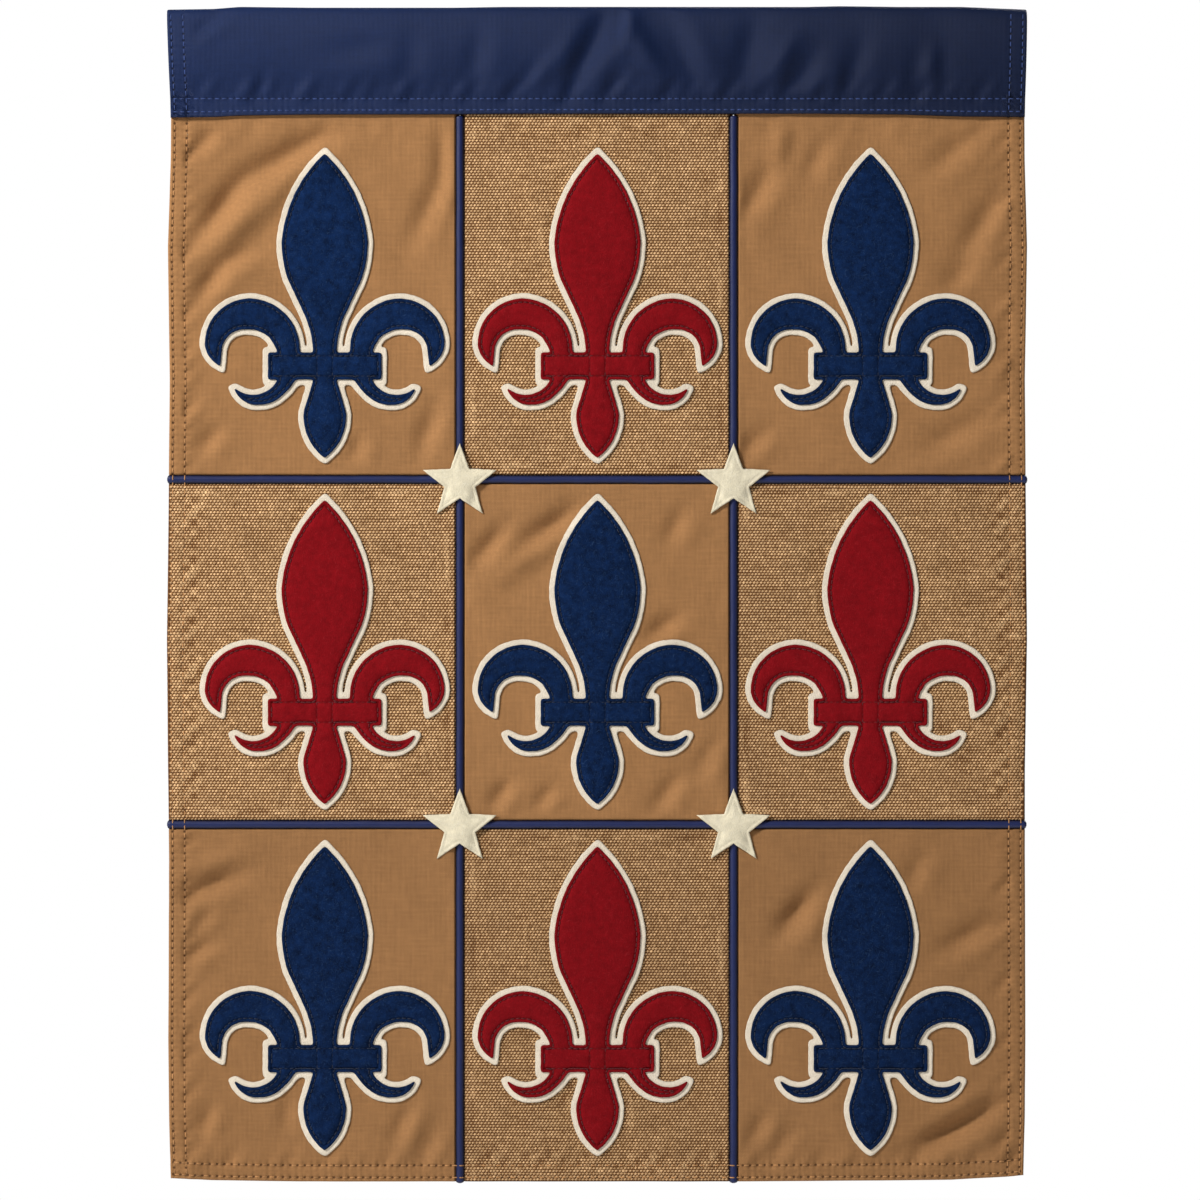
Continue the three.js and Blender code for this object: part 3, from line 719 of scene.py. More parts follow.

# Painted shade of each panel's cloth: paler towards the lit corner, darker lower down and to the right, away
# from the lamp.
PANEL_PAINTED_SHADE = {
    ("top", "left"): 1.0, ("top", "mid"): 1.0, ("top", "right"): 0.95,
    ("mid", "left"): 1.0, ("mid", "mid"): 0.97, ("mid", "right"): 0.94,
    ("foot", "left"): 0.87, ("foot", "mid"): 0.88, ("foot", "right"): 0.83,
}


def panel_sides(row, column):
    """What each side of a panel is, and the place of the sides that are straight."""
    gap = PIPING_ROUND + GAP
    spans_x = {
        "left": (None, PIPING_X["left"] - gap),
        "mid": (PIPING_X["left"] + gap, PIPING_X["right"] - gap),
        "right": (PIPING_X["right"] + gap, None),
    }
    spans_z = {
        "top": (BODY_TOP, PIPING_Z["upper"] + gap),
        "mid": (PIPING_Z["upper"] - gap, PIPING_Z["lower"] + gap),
        "foot": (PIPING_Z["lower"] - gap, None),
    }
    left, right = spans_x[column]
    top, foot = spans_z[row]
    return {
        "left": ("hem" if left is None else "seam", left),
        "right": ("hem" if right is None else "seam", right),
        "top": ("top" if row == "top" else "seam", top),
        "foot": ("hem" if foot is None else "seam", foot),
    }


def grid_lines(near_kind, far_kind, length, step):
    """Shares and offsets of the lines of a grid between two sides."""
    near = LINE_SETS[near_kind]
    far = LINE_SETS[far_kind]
    start, stop = near[-1], far[-1]
    count = max(2, round((length - start - stop) / step))
    shares = np.arange(1, count) / count
    lines = [(0.0, offset) for offset in near]
    lines += [(share, (1 - share) * start - share * stop) for share in shares]
    lines += [(1.0, -offset) for offset in reversed(far)]
    return np.array(lines)


def side_places(sides, x, z):
    left = along(SIDE_EDGES, "z", "left", z) if sides["left"][1] is None else sides["left"][1] + 0 * z
    right = along(SIDE_EDGES, "z", "right", z) if sides["right"][1] is None else sides["right"][1] + 0 * z
    foot = along(FOOT_EDGE, "x", "z", x) if sides["foot"][1] is None else sides["foot"][1] + 0 * x
    return left, right, sides["top"][1] + 0 * x, foot


def lip(distance):
    """How far the edge beside a cord is turned back, by its distance inside the seam."""
    return LIP_DEEP * smooth_step((0.45 - distance) / (0.45 + LIP_REACH))


def retreat(distance, radius):
    """How far a face draws back in the round edge of a fold."""
    share = np.clip(1 - distance / radius, 0, 1)
    return radius * (1 - np.sqrt(1 - share * share)) * 0.85


class PanelShape:
    """The faces of one panel, as functions of the place on it."""

    def __init__(self, row, column, sizes):
        self.row, self.column, self.sizes = row, column, sizes
        self.weave = weave_of(row, column)
        self.sides = panel_sides(row, column)
        self.rows = sizes.hem_outer_row / MM, sizes.hem_inner_row / MM
        self.dye = PANEL_PAINTED_SHADE[(row, column)]

    def inside(self, x, z):
        """Distances inwards from the four sides."""
        left, right, top, foot = side_places(self.sides, x, z)
        return {"left": x - left, "right": right - x, "top": top - z, "foot": z - foot}

    def turned(self, x, z):
        inward = self.inside(x, z)
        total = np.zeros_like(x)
        for side, distance in inward.items():
            if self.sides[side][0] != "seam":
                continue
            below_sleeve = smooth_step((SLEEVE_FOOT + 1.6 - z) / 1.8) if side in ("left", "right") else 1
            total = np.maximum(total, lip(distance) * below_sleeve)
        return total

    def hems(self):
        return [side for side in ("left", "right", "foot") if self.sides[side][0] == "hem"]

    def hem_layer(self, x, z):
        """1 where the hem's folded layer is, and 0 past its inner edge and under the sleeve."""
        inward = self.inside(x, z)
        wide = self.sizes.hem_wide / MM
        layer = np.zeros_like(x)
        for side in self.hems():
            layer = np.maximum(layer, smooth_step((wide + 0.25 - inward[side]) / 0.3))
        return layer * smooth_step((SLEEVE_FOOT - 1.5 - z) / 0.3)

    def middle(self, x, z):
        return drape(x, z, self.weave, self.sizes) + self.turned(x, z)

    def front(self, x, z):
        """The front face with its stitched rows sunk in and the cloth puffed up between them."""
        face = YARN_FRONT if self.weave == "coarse" else CLOTH_FRONT
        y = self.middle(x, z) + face
        inward = self.inside(x, z)
        outer, inner = self.rows
        for k, side in enumerate(self.hems()):
            distance = inward[side]
            place = x if side == "foot" else z
            uneven = 1 + 0.35 * ripple(place, 41 + k, (4.5, 7.0, 11.0))
            y += 0.16 * (bell(distance - outer, 0.45) + bell(distance - inner, 0.45))
            y -= 0.14 * uneven * bell(distance - (outer + inner) / 2, 1.5)
            y += retreat(distance, HEM_FACE_ROUND)
        return y

    def back(self, x, z):
        y = self.middle(x, z) + CLOTH_BACK + self.hem_layer(x, z) * self.sizes.hem_thick / MM
        inward = self.inside(x, z)
        for side in self.hems():
            y -= retreat(inward[side], HEM_FACE_ROUND)
        return y

    def grid(self, step):
        kinds = {side: kind for side, (kind, _) in self.sides.items()}
        middle_x = np.zeros(1)
        left, right, top, foot = side_places(self.sides, middle_x, middle_x - 200)
        across = grid_lines(kinds["left"], kinds["right"], float(right[0] - left[0]), step)
        if self.sides["foot"][1] is None:
            foot = middle_x + BODY_FOOT
        down = grid_lines(kinds["top"], kinds["foot"], float(top[0] - foot[0]), step)
        share_x, offset_x = across[None, :, 0], across[None, :, 1]
        share_z, offset_z = down[:, None, 0], down[:, None, 1]
        x = (1 - share_x) * left[0] + share_x * right[0] + offset_x + 0 * share_z
        z = np.zeros_like(x)
        for _ in range(3):
            left, right, top, foot = side_places(self.sides, x, z)
            z = (1 - share_z) * top + share_z * foot - offset_z
            left, right, top, foot = side_places(self.sides, x, z)
            x = (1 - share_x) * left + share_x * right + offset_x
        return x, z

    def stitch_rows(self, x, z):
        """For the side hems and the foot hem, distance to the nearest row of stitches in
        millimetres and place along it in stitches."""
        inward = self.inside(x, z)
        pitch = self.sizes.hem_stitch / MM
        side = foot = np.full_like(x, NO_ROW)
        for name in self.hems():
            near = nearest(inward[name], *self.rows)
            if name == "foot":
                foot = near
            else:
                side = np.minimum(side, near)
        return np.stack((side, z / pitch, 0 * x), -1), np.stack((foot, x / pitch, 0 * x), -1)


def build_panel(shape, material):
    step = shape.sizes.coarse_step if shape.weave == "coarse" else shape.sizes.panel_step
    x, z = shape.grid(step / MM)
    front = np.stack((x, shape.front(x, z), z), -1)
    back = np.stack((x, shape.back(x, z), z), -1)
    points, faces = closed_grid(front, back)
    side_row, foot_row = shape.stitch_rows(x, z)
    attributes = {
        "side_row": np.concatenate((side_row.reshape(-1, 3),) * 2),
        "foot_row": np.concatenate((foot_row.reshape(-1, 3),) * 2),
        # The panel's painted shade, from the table of panels.
        "dye": np.full(len(points), shape.dye),
        "behind": np.arange(len(points)) >= len(points) // 2,
    }
    name = f"panel_cloth_{shape.row}_{shape.column}"
    mesh = make_mesh(name, points, faces, attributes)
    piece = place_object(name, mesh, material, [f"panel_{shape.row}_{shape.column}"])
    wide = np.ptp(x) + shape.sizes.hem_wide / MM * sum(side != "foot" for side in shape.hems())
    long = np.ptp(z) + shape.sizes.hem_wide / MM * ("foot" in shape.hems())
    return piece, (wide * MM, long * MM)


# Nine points of a float: across and up, as shares of its half size, and how high it is there.
FLOAT_SHAPE = np.array((
    (-0.74, -0.7, 0.0), (0, -1, 0.07), (0.74, -0.7, 0.0),
    (-1, 0, 0.1), (0, 0, 1.0), (1, 0, 0.1),
    (-0.74, 0.7, 0.0), (0, 1, 0.07), (0.74, 0.7, 0.0),
))


def build_yarns(shape, material):
    """The light floats of the coarse weave, a low pillow for each, in staggered rows."""
    sizes = shape.sizes
    pitch_x, pitch_z = sizes.warp_pitch / MM, sizes.weft_pitch / MM
    random = np.random.default_rng(100 + 3 * ROWS.index(shape.row) + COLUMNS.index(shape.column))
    left, right, top, foot = side_places(shape.sides, np.zeros(1), np.full(1, -200.0))
    foot = foot if shape.sides["foot"][1] is not None else np.full(1, BODY_FOOT)
    first_row = math.floor((foot[0] - 3) / pitch_z)
    last_row = math.ceil((min(top[0], SLEEVE_FOOT + 2.5) + 3) / pitch_z)
    rows = np.arange(first_row, last_row)
    cells = np.arange(math.floor((left[0] - 3) / pitch_x), math.ceil((right[0] + 3) / pitch_x))
    cell, row = np.meshgrid(cells, rows)
    x = (cell + 0.5 + 0.5 * (row % 2)) * pitch_x
    z = (row + 0.5) * pitch_z
    row_tone = random.normal(0, 0.03, len(rows))[:, None]
    row_thick = 1 + random.normal(0, 0.03, len(rows))[:, None]
    z = z + 0.07 * pitch_z * ripple(x, 61, (17.0, 29.0, 43.0)) * np.sin(1.7 * row)
    x = x + random.normal(0, 0.035, x.shape) * pitch_x
    thick = row_thick * (1 + random.normal(0, 0.05, x.shape))
    shade = row_tone + random.normal(0, 0.09, x.shape) + 0.05 * ripple(x + 13 * row, 67, (11.0, 19.0, 37.0))
    x, z, thick, shade = (values.ravel() for values in (x, z, thick, shade))
    inward = shape.inside(x, z)
    keep = np.ones(len(x), bool)
    for side, distance in inward.items():
        keep &= distance > {"hem": 0.75, "seam": -0.55, "top": -1.0}[shape.sides[side][0]]
    keep &= z < SLEEVE_FOOT + 2.5
    centre = (MOTIF_X[shape.column], MOTIF_Z[shape.row])
    places = np.stack((x - centre[0], z - centre[1]), 1)
    # None are made well under a felt, where they wouldn't be seen.
    keep &= ~(is_inside(places, BACKING_EDGE) & (edge_distance(places, BACKING_EDGE) > 1.4))
    x, z, thick, shade = (values[keep] for values in (x, z, thick, shade))
    half_x, half_z = 0.4 * pitch_x, 0.48 * pitch_z
    across, up, height = FLOAT_SHAPE.T
    across, up = across * half_x, up * half_z
    px = x[:, None] + across * (0.94 + 0.06 * thick[:, None])
    pz = z[:, None] + up * thick[:, None]
    base = shape.front(px, pz)
    py = base + 0.05 - 0.32 * height * thick[:, None]
    points = np.stack((px, py, pz), -1).reshape(-1, 3)
    quads = np.array([(0, 1, 4, 3), (1, 2, 5, 4), (3, 4, 7, 6), (4, 5, 8, 7)])
    faces = (np.arange(len(x))[:, None, None] * len(FLOAT_SHAPE) + quads).reshape(-1, 4)
    attributes = {
        "shade": np.repeat(shade, len(FLOAT_SHAPE)),
        # The panel's painted shade on its yarns as well.
        "dye": np.full(len(points), shape.dye),
    }
    name = f"panel_yarns_{shape.row}_{shape.column}"
    return place_object(name, make_mesh(name, points, [faces], attributes), material)


# Felts.

FELT_RINGS = (0.05, 0.16, 0.36, 0.7, 1.05, 1.3, 1.45, 1.6, 1.9, 2.5, 3.4)
FELT_MESH_STEP = 1.1
FELT_INSIDE_STEP = 3.0
FELT_BACK_STEP = 7.0
BORDER_RINGS = (0.05, 0.16, 0.36, 0.9, 2.0)
FELT_EDGE_ROUND = 0.36

# Stitch lines inside the blue or red felt, besides the one round its edge: along the band above
# and below, and from the petal down through the band.
INNER_SEAMS = (
    ((-20.4, 3.85), (20.4, 3.85)),
    ((-20.4, -3.85), (20.4, -3.85)),
    ((3.0, 4.6), (2.9, -4.6)),
    ((-3.0, 4.6), (-2.9, -4.6)),
)


def inner_points(edge, step, margin):
    """Evenly staggered points that lie inside an edge by more than a margin."""
    low, high = edge.min(0), edge.max(0)
    rows = np.arange(low[1], high[1], step * 0.87)
    places = []
    for k, z in enumerate(rows):
        for x in np.arange(low[0] + (k % 2) * step / 2, high[0], step):
            places.append((x, z))
    places = np.array(places)
    keep = is_inside(places, edge)
    keep[keep] = edge_distance(places[keep], edge) > margin
    return places[keep]


def inset_ring(edge, reach):
    """Points a little inside a closed edge, with which of the edge's points each belongs to."""
    into = unit(edge - np.roll(edge, 1, axis=0))
    away = unit(np.roll(edge, -1, axis=0) - edge)
    middle = unit(np.stack((-(into + away)[:, 1], (into + away)[:, 0]), 1))
    cosine = np.abs(middle[:, 0] * -into[:, 1] + middle[:, 1] * into[:, 0])
    moved = edge + reach * middle / np.maximum(cosine, 0.55)[:, None]
    keep = is_inside(moved, edge) & (edge_distance(moved, edge) > 0.93 * reach)
    return moved, keep


def thinned(places, least):
    """Drops points that lie nearly on top of an earlier one."""
    kept = {}
    for p in places:
        kept.setdefault((round(p[0] / least), round(p[1] / least)), p)
    return np.array(list(kept.values()))


def triangles(edge, free):
    """Points and triangles that fill a closed edge, passing through the free points. The edge's own
    points come first and keep their order."""
    points = [Vector(p) for p in edge] + [Vector(p) for p in free]
    count = len(edge)
    sides = [(k, (k + 1) % count) for k in range(count)]
    made = delaunay_2d_cdt(points, sides, [], 1, 1e-6)
    origin = {}
    for new, olds in enumerate(made[3]):
        for old in olds:
            origin[new] = old
    faces = np.array([[origin[k] for k in face] for face in made[2]])
    return np.array([tuple(p) for p in points]), faces


class FeltShape:
    """A cut felt: its edge, its mesh in the flat, and its stitch lines."""

    def __init__(self, edge, rings, wobble, seed, worn, seams=(), seam_in=None, groove=0.36):
        self.edge = softened(divided(edge, FELT_MESH_STEP), worn)
        self.edge = self.cut_by_hand(wobble, seed)
        self.seams = [(np.array(a), np.array(b)) for a, b in seams]
        self.seam_in = seam_in
        self.groove = groove
        free = []
        for reach in rings:
            moved, keep = inset_ring(self.edge, reach)
            free.append(thinned(moved[keep], 0.3) if reach > 0.3 else moved[keep])
        for a, b in self.seams:
            side = (b - a) / np.linalg.norm(b - a)
            away = np.array((-side[1], side[0]))
            for offset in (-0.6, -0.25, 0, 0.25, 0.6):
                steps = np.arange(0, np.linalg.norm(b - a), 1.0)
                free.append(a + steps[:, None] * side + offset * away)
        free.append(inner_points(self.edge, FELT_INSIDE_STEP, rings[-1] + 1.2))
        free = np.concatenate(free)
        keep = is_inside(free, self.edge)
        self.points, self.faces = triangles(self.edge, free[keep])
        self.distance = edge_distance(self.points, self.edge)
        self.to_seam = line_distance(self.points, *zip(*self.seams)) if self.seams else None
        coarse = inner_points(self.edge, FELT_BACK_STEP, 2.0)
        self.back_points, self.back_faces = triangles(self.edge, coarse)
        a, b, c = (self.points[self.faces[:, k]] for k in range(3))
        sides = np.stack((b - a, c - a), 1)
        self.area = float(np.abs(np.linalg.det(sides)).sum() / 2)

    def cut_by_hand(self, wobble, seed):
        edge = self.edge
        along_edge = reach_along(edge)
        tangent = unit(np.roll(edge, -1, axis=0) - np.roll(edge, 1, axis=0))
        away = np.stack((tangent[:, 1], -tangent[:, 0]), 1)
        total = along_edge[-1]
        lengths = [total / round(total / size) for size in (3.1, 5.3, 9.7, 17.0)]
        # A narrow notch keeps its place, so its two sides can't cross.
        apart = np.linalg.norm(edge[:, None] - edge[None], axis=2)
        order = np.abs(np.arange(len(edge))[:, None] - np.arange(len(edge)))
        apart[np.minimum(order, len(edge) - order) < 5] = 9
        wobble = wobble * smooth_step(apart.min(1) / 2 - 0.5)
        return edge + (wobble * ripple(along_edge, seed, lengths))[:, None] * away

    def height(self, thick):
        """Height of the front face over the back, over the flat points."""
        share = np.clip(1 - self.distance / FELT_EDGE_ROUND, 0, 1)
        height = thick * (0.42 + 0.58 * np.sqrt(1 - share * share))
        if self.seam_in is not None:
            height += 0.3 * smooth_step((self.distance - self.seam_in) / 3.0)
            height -= self.groove * bell(self.distance - self.seam_in, 0.38)
        if self.seams:
            height -= 0.26 * bell(self.to_seam, 0.36) * (self.distance > 1.2)
        return height

    def tones(self, edge_shade, seam_shade):
        """Painted shade on each point of the solid: darker at the cut edge and in the seams, where shade
        falls.
        """
        tones = 1 - edge_shade * bell(self.distance, 0.34)
        if self.seam_in is not None:
            tones -= seam_shade * bell(self.distance - self.seam_in, 0.3)
        if self.seams:
            tones -= 0.8 * seam_shade * bell(self.to_seam, 0.3)
        behind = np.full(len(self.back_points), 1 - edge_shade)
        return np.clip(np.concatenate((tones, behind)), 0.3, 1)

    def solid(self, surface, out, thick):
        """Points and faces of the felt laid on a surface. out is the clearance under its back."""
        count = len(self.edge)
        height = self.height(thick)
        front_y = surface(self.points[:, 0], self.points[:, 1]) - out - height
        back_y = surface(self.back_points[:, 0], self.back_points[:, 1]) - out
        back_y[:count] -= 0.12 * thick
        front = np.stack((self.points[:, 0], front_y, self.points[:, 1]), 1)
        back = np.stack((self.back_points[:, 0], back_y, self.back_points[:, 1]), 1)
        behind = self.back_faces[:, ::-1] + len(front)
        near = np.arange(count)
        far = np.roll(near, -1)
        wall = np.stack((far, near, near + len(front), far + len(front)), 1)
        return np.concatenate((front, back)), [self.faces, behind, wall]

    def seam_runs(self):
        """Open lines of points that the stitches follow."""
        moved, keep = inset_ring(self.edge, self.seam_in)
        runs = []
        current = []
        start = int(np.argmin(keep)) if not keep.all() else 0
        for k in range(len(moved) + 1):
            at = (start + k) % len(moved)
            if k < len(moved) and keep[at]:
                current.append(moved[at])
            else:
                if len(current) > 2:
                    runs.append(np.array(current))
                current = []
        runs.extend(np.array((a, b)) for a, b in self.seams)
        return runs


# Stitches.


def walk(line, pitch):
    """Starts and ends of stitches along a line of points, one for each pitch."""
    reach = reach_along(line)
    count = int(reach[-1] / pitch)
    if count < 1:
        return np.zeros((0, 2, 2))
    begins = (reach[-1] - count * pitch) / 2 + np.arange(count) * pitch
    ends = []
    for share in (0.08, 0.86):
        place = begins + share * pitch
        ends.append(np.stack([np.interp(place, reach, line[:, k]) for k in range(2)], 1))
    return np.stack(ends, 1)


def even_stitches(low, high, pitch):
    """Starts and ends of stitches between two places on an axis, one for each pitch."""
    cells = np.arange(math.ceil(low / pitch), math.floor(high / pitch))
    return (cells[:, None] + np.array((0.1, 0.88))) * pitch


# Places along a stitch, its rise there in thread radii, and how full it is.
STITCH_SHAPE = np.array((
    (0.0, 0.16, 0.5, 0.84, 1.0),
    (-0.9, 0.35, 0.75, 0.35, -0.9),
    (0.45, 0.95, 1.0, 0.95, 0.45),
))
STITCH_SIDES = 4


def stitch_mesh(name, ends, surface, radius, front=True):
    """Small bent threads, each from one needle hole to the next, joined in one mesh."""
    a, b = ends[:, 0], ends[:, 1]
    side = unit(b - a)
    away = np.stack((side[:, 1], -side[:, 0]), 1)
    out = -1.0 if front else 1.0
    # The back needs only the ends and the middle of each thread.
    share, rise, full = STITCH_SHAPE if front else STITCH_SHAPE[:, ::2]
    places = a[:, None, :] + (b - a)[:, None, :] * share[None, :, None]
    y = surface(places[..., 0], places[..., 1]) + out * radius * rise
    turns = 2 * math.pi * np.arange(STITCH_SIDES) / STITCH_SIDES
    wide = radius * full[None, :, None] * np.cos(turns)
    deep = radius * full[None, :, None] * np.sin(turns) * 0.9
    px = places[..., 0, None] + wide * away[:, None, None, 0]
    pz = places[..., 1, None] + wide * away[:, None, None, 1]
    py = y[..., None] + deep
    points = np.stack((px, py, pz), -1)
    count, stations, sides = points.shape[:3]
    index = np.arange(count * stations * sides).reshape(count, stations, sides)
    after = np.roll(index, -1, axis=2)
    walls = np.stack((index[:, :-1], after[:, :-1], after[:, 1:], index[:, 1:]), -1).reshape(-1, 4)
    caps = np.concatenate((index[:, 0, ::-1], index[:, -1]))
    random = np.random.default_rng(count)
    shade = np.repeat(random.normal(0, 0.12, count), stations * sides)
    return make_mesh(name, points.reshape(-1, 3), [walls, caps], {"shade": shade})


def sew(names, ends, faces, radius, material):
    """Adds the threads on the front face, and the same stitches where they show on the back."""
    for name, face, front in zip(names, faces, (True, False)):
        place_object(name, stitch_mesh(name, ends, face, radius, front), material)


# Node trees.


class Value:
    """A value in a node tree. Plain arithmetic with it adds the maths nodes."""

    def __init__(self, socket):
        self.socket = socket

    def __add__(self, other):
        return calc("ADD", self, other)

    def __sub__(self, other):
        return calc("SUBTRACT", self, other)

    def __rsub__(self, other):
        return calc("SUBTRACT", other, self)

    def __mul__(self, other):
        return calc("MULTIPLY", self, other)

    def __truediv__(self, other):
        return calc("DIVIDE", self, other)

    def __pow__(self, other):
        return calc("POWER", self, other)


def tree_of(*values):
    """The node tree that the values are in. Some of them may be plain numbers or colours."""
    return next(value.socket.id_data for value in values if isinstance(value, Value))


def add_node(tree, kind, **settings):
    node = tree.nodes.new(kind)
    for key, value in settings.items():
        setattr(node, key, value)
    return node


def feed(socket, value):
    """Joins a socket to a value of its tree, or gives it a number or colour."""
    if isinstance(value, Value):
        socket.id_data.links.new(value.socket, socket)
    else:
        socket.default_value = value


def set_inputs(node, **values):
    """Feeds a node's inputs by their labels, with an underscore for a space."""
    for label, value in values.items():
        feed(node.inputs[label.replace("_", " ")], value)


def calc(operation, *values, clamp=False):
    node = add_node(tree_of(*values), "ShaderNodeMath", operation=operation, use_clamp=clamp)
    for socket, value in zip(node.inputs, values):
        feed(socket, value)
    return Value(node.outputs[0])


def blend_colours(share, first, second, kind="MIX"):
    tree = tree_of(share, first, second)
    node = add_node(tree, "ShaderNodeMix", data_type="RGBA", blend_type=kind)
    feed(node.inputs[0], share)
    for socket, colour in ((node.inputs[6], first), (node.inputs[7], second)):
        feed(socket, colour if isinstance(colour, Value) else (*colour, 1.0))
    return Value(node.outputs[2])


def scaled(colour, factor):
    """A colour made lighter or darker by a factor that varies."""
    grey = add_node(tree_of(factor), "ShaderNodeCombineColor")
    for socket in grey.inputs:
        feed(socket, factor)
    return blend_colours(1.0, colour, Value(grey.outputs[0]), "MULTIPLY")


def split(vector):
    node = add_node(tree_of(vector), "ShaderNodeSeparateXYZ")
    feed(node.inputs[0], vector)
    return [Value(socket) for socket in node.outputs]


def noise(place, size, detail=2.0, rough=0.5, stretch=None):
    """Cloudy noise whose patches are about as wide as the size, in metres."""
    tree = tree_of(place)
    if stretch is not None:
        mapping = add_node(tree, "ShaderNodeMapping")
        set_inputs(mapping, Vector=place, Scale=stretch)
        place = Value(mapping.outputs[0])
    node = add_node(tree, "ShaderNodeTexNoise")
    set_inputs(node, Vector=place, Scale=1.0 / size, Detail=detail, Roughness=rough)
    return Value(node.outputs[0])


def attribute(tree, name, output="Fac"):
    return Value(add_node(tree, "ShaderNodeAttribute", attribute_name=name).outputs[output])


def object_place(tree):
    return Value(add_node(tree, "ShaderNodeTexCoord").outputs["Object"])


# Node groups. Each takes its inputs and gives the values of its outputs.


def fine_weave(across, down, pitch):
    """Over and under threads of a fine plain weave, one thread for each pitch both ways."""
    one, other = (calc("SINE", place / pitch * math.pi) for place in (across, down))
    crossing = one * other
    upright = calc("ABSOLUTE", one) + crossing
    level = calc("ABSOLUTE", other) - crossing
    return calc("MAXIMUM", upright, level) * 0.5, calc("GREATER_THAN", upright, level)


def uneven_tone(place, amount):
    """A factor round 1 that drifts over the cloth in large and small patches."""
    large = noise(place, 0.035) - 0.5
    small = noise(place, 0.004, 3.0, 0.6) - 0.5
    return [(large * 1.2 + small) * amount + 1.0]


def uneven_threads(place):
    """A factor round 1 that follows thicker and thinner threads both ways."""
    level = noise(place, 0.0008, 2.0, 0.6, (0.1, 1.0, 1.0))
    upright = noise(place, 0.0008, 2.0, 0.6, (1.0, 1.0, 0.1))
    return [(level + upright - 1.0) * 0.32 + 1.0]


def felt_nap(place):
    """Matted fibres: a mottled tone, stray light fibres and the height of the nap."""
    tree = tree_of(place)
    patches = noise(place, 0.003, 3.0, 0.65)
    grain = noise(place, 0.0005, 2.0, 0.7)
    swirl = noise(place, 0.006, 2.0, 0.5)
    bent = add_node(tree, "ShaderNodeVectorMath", operation="MULTIPLY_ADD")
    for socket, value in zip(bent.inputs, (swirl, (0.006, 0.006, 0.006), place)):
        feed(socket, value)
    curved = Value(bent.outputs[0])
    one_way = noise(curved, 0.0016, 1.0, 0.5, (7.0, 1.0, 1.0))
    other_way = noise(curved, 0.0016, 1.0, 0.5, (1.0, 1.0, 7.0))
    fibres = calc("MAXIMUM", one_way, other_way)
    lit = add_node(tree, "ShaderNodeMapRange")
    set_inputs(lit, Value=fibres, From_Min=0.62, From_Max=0.78)
    return patches * 0.7 + grain * 0.3, Value(lit.outputs[0]), fibres * 0.5 + grain


def needle_holes(row, reach):
    """Painted shade in the needle holes along a row of stitches. row is the distance to it in
    millimetres and the place along it in stitches."""
    distance, place, _ = split(row)
    phase = calc("ABSOLUTE", calc("FRACT", place) - 0.5)
    from_hole = (0.5 - phase) * 2.8
    away = calc("SQRT", distance ** 2.0 + from_hole ** 2.0) / reach
    return [calc("SUBTRACT", 1.0, away ** 2.0, clamp=True)]


def coarse_weave(place, warp, weft):
    """What shows between the floats of the coarse weave, upright yarns and holes with painted
    shade in them, and where the floats themselves are."""
    x, _, z = split(place)
    row = z / weft
    shift = calc("FLOORED_MODULO", calc("FLOOR", row), 2.0) * 0.5
    cell = x / warp - shift
    near_x = calc("ABSOLUTE", calc("FRACT", cell + 0.5) - 0.5)
    near_z = calc("ABSOLUTE", calc("FRACT", row) - 0.5)
    high = (near_z / 0.52) ** 2.0
    yarn = calc("SUBTRACT", 1.0, (near_x / 0.2) ** 2.0 + high, clamp=True)
    light = calc("SUBTRACT", 1.0, ((0.5 - near_x) / 0.42) ** 2.0 + high, clamp=True)
    return yarn ** 0.6, light, yarn


GROUPS = {
    "Fine weave": (fine_weave, "Across Along Pitch", "Height Over"),
    "Uneven dye": (uneven_tone, "Place Amount", "Factor"),
    "Uneven threads": (uneven_threads, "Place", "Factor"),
    "Felt nap": (felt_nap, "Place", "Tone Fibre Height"),
    "Needle holes": (needle_holes, "Row Reach", "Mask"),
    "Coarse ground": (coarse_weave, "Place Warp Weft", "Yarn Float Height"),
}


def group(name):
    """The node group of that name, made when it is first needed. Its inputs and outputs are
    numbers, but Place and Row are vectors."""
    if name in bpy.data.node_groups:
        return bpy.data.node_groups[name]
    maker, inputs, outputs = GROUPS[name]
    tree = bpy.data.node_groups.new(name, "ShaderNodeTree")
    for labels, way in ((inputs, "INPUT"), (outputs, "OUTPUT")):
        for label in labels.split():
            kind = "NodeSocketVector" if label in ("Place", "Row") else "NodeSocketFloat"
            tree.interface.new_socket(label, in_out=way, socket_type=kind)
    given = tree.nodes.new("NodeGroupInput").outputs
    out = tree.nodes.new("NodeGroupOutput")
    made = maker(*(Value(given[label]) for label in inputs.split()))
    set_inputs(out, **dict(zip(outputs.split(), made)))
    return tree


def use_group(name, **values):
    node = add_node(tree_of(*values.values()), "ShaderNodeGroup", node_tree=group(name))
    set_inputs(node, **values)
    return {socket.name: Value(socket) for socket in node.outputs}


# Materials.


def new_material(name, rough, sheen=0.0, gloss=0.5):
    """A material with one Principled shader. Gives the material, its tree and the shader."""
    material = bpy.data.materials.new(name)
    material.use_nodes = True
    tree = material.node_tree
    shader = tree.nodes["Principled BSDF"]
    set_inputs(shader, Roughness=rough, Sheen_Weight=sheen, Sheen_Roughness=0.45,
               Specular_IOR_Level=gloss)
    return material, tree, shader


def dress(shader, colour, height, depth, strength=1.0):
    """Gives the shader its colour and its relief, whose depth is in metres."""
    node = add_node(tree_of(height), "ShaderNodeBump")
    set_inputs(node, Strength=strength, Distance=depth, Height=height)
    set_inputs(shader, Base_Color=colour, Normal=Value(node.outputs[0]))


def sewn_relief(tree, weave, holes, rise):
    """The relief of a woven cloth, with its needle holes sunk in and the cloth puckered between
    them."""
    parts = []
    for name in ("side_row", "foot_row"):
        distance, place, _ = split(attribute(tree, name, "Vector"))
        near = calc("SUBTRACT", 1.0, distance / 2.4, clamp=True)
        parts.append(near * calc("COSINE", (place + 0.5) * (2 * math.pi)))
    return weave["Height"] - holes * 2.0 + (parts[0] + parts[1]) * rise
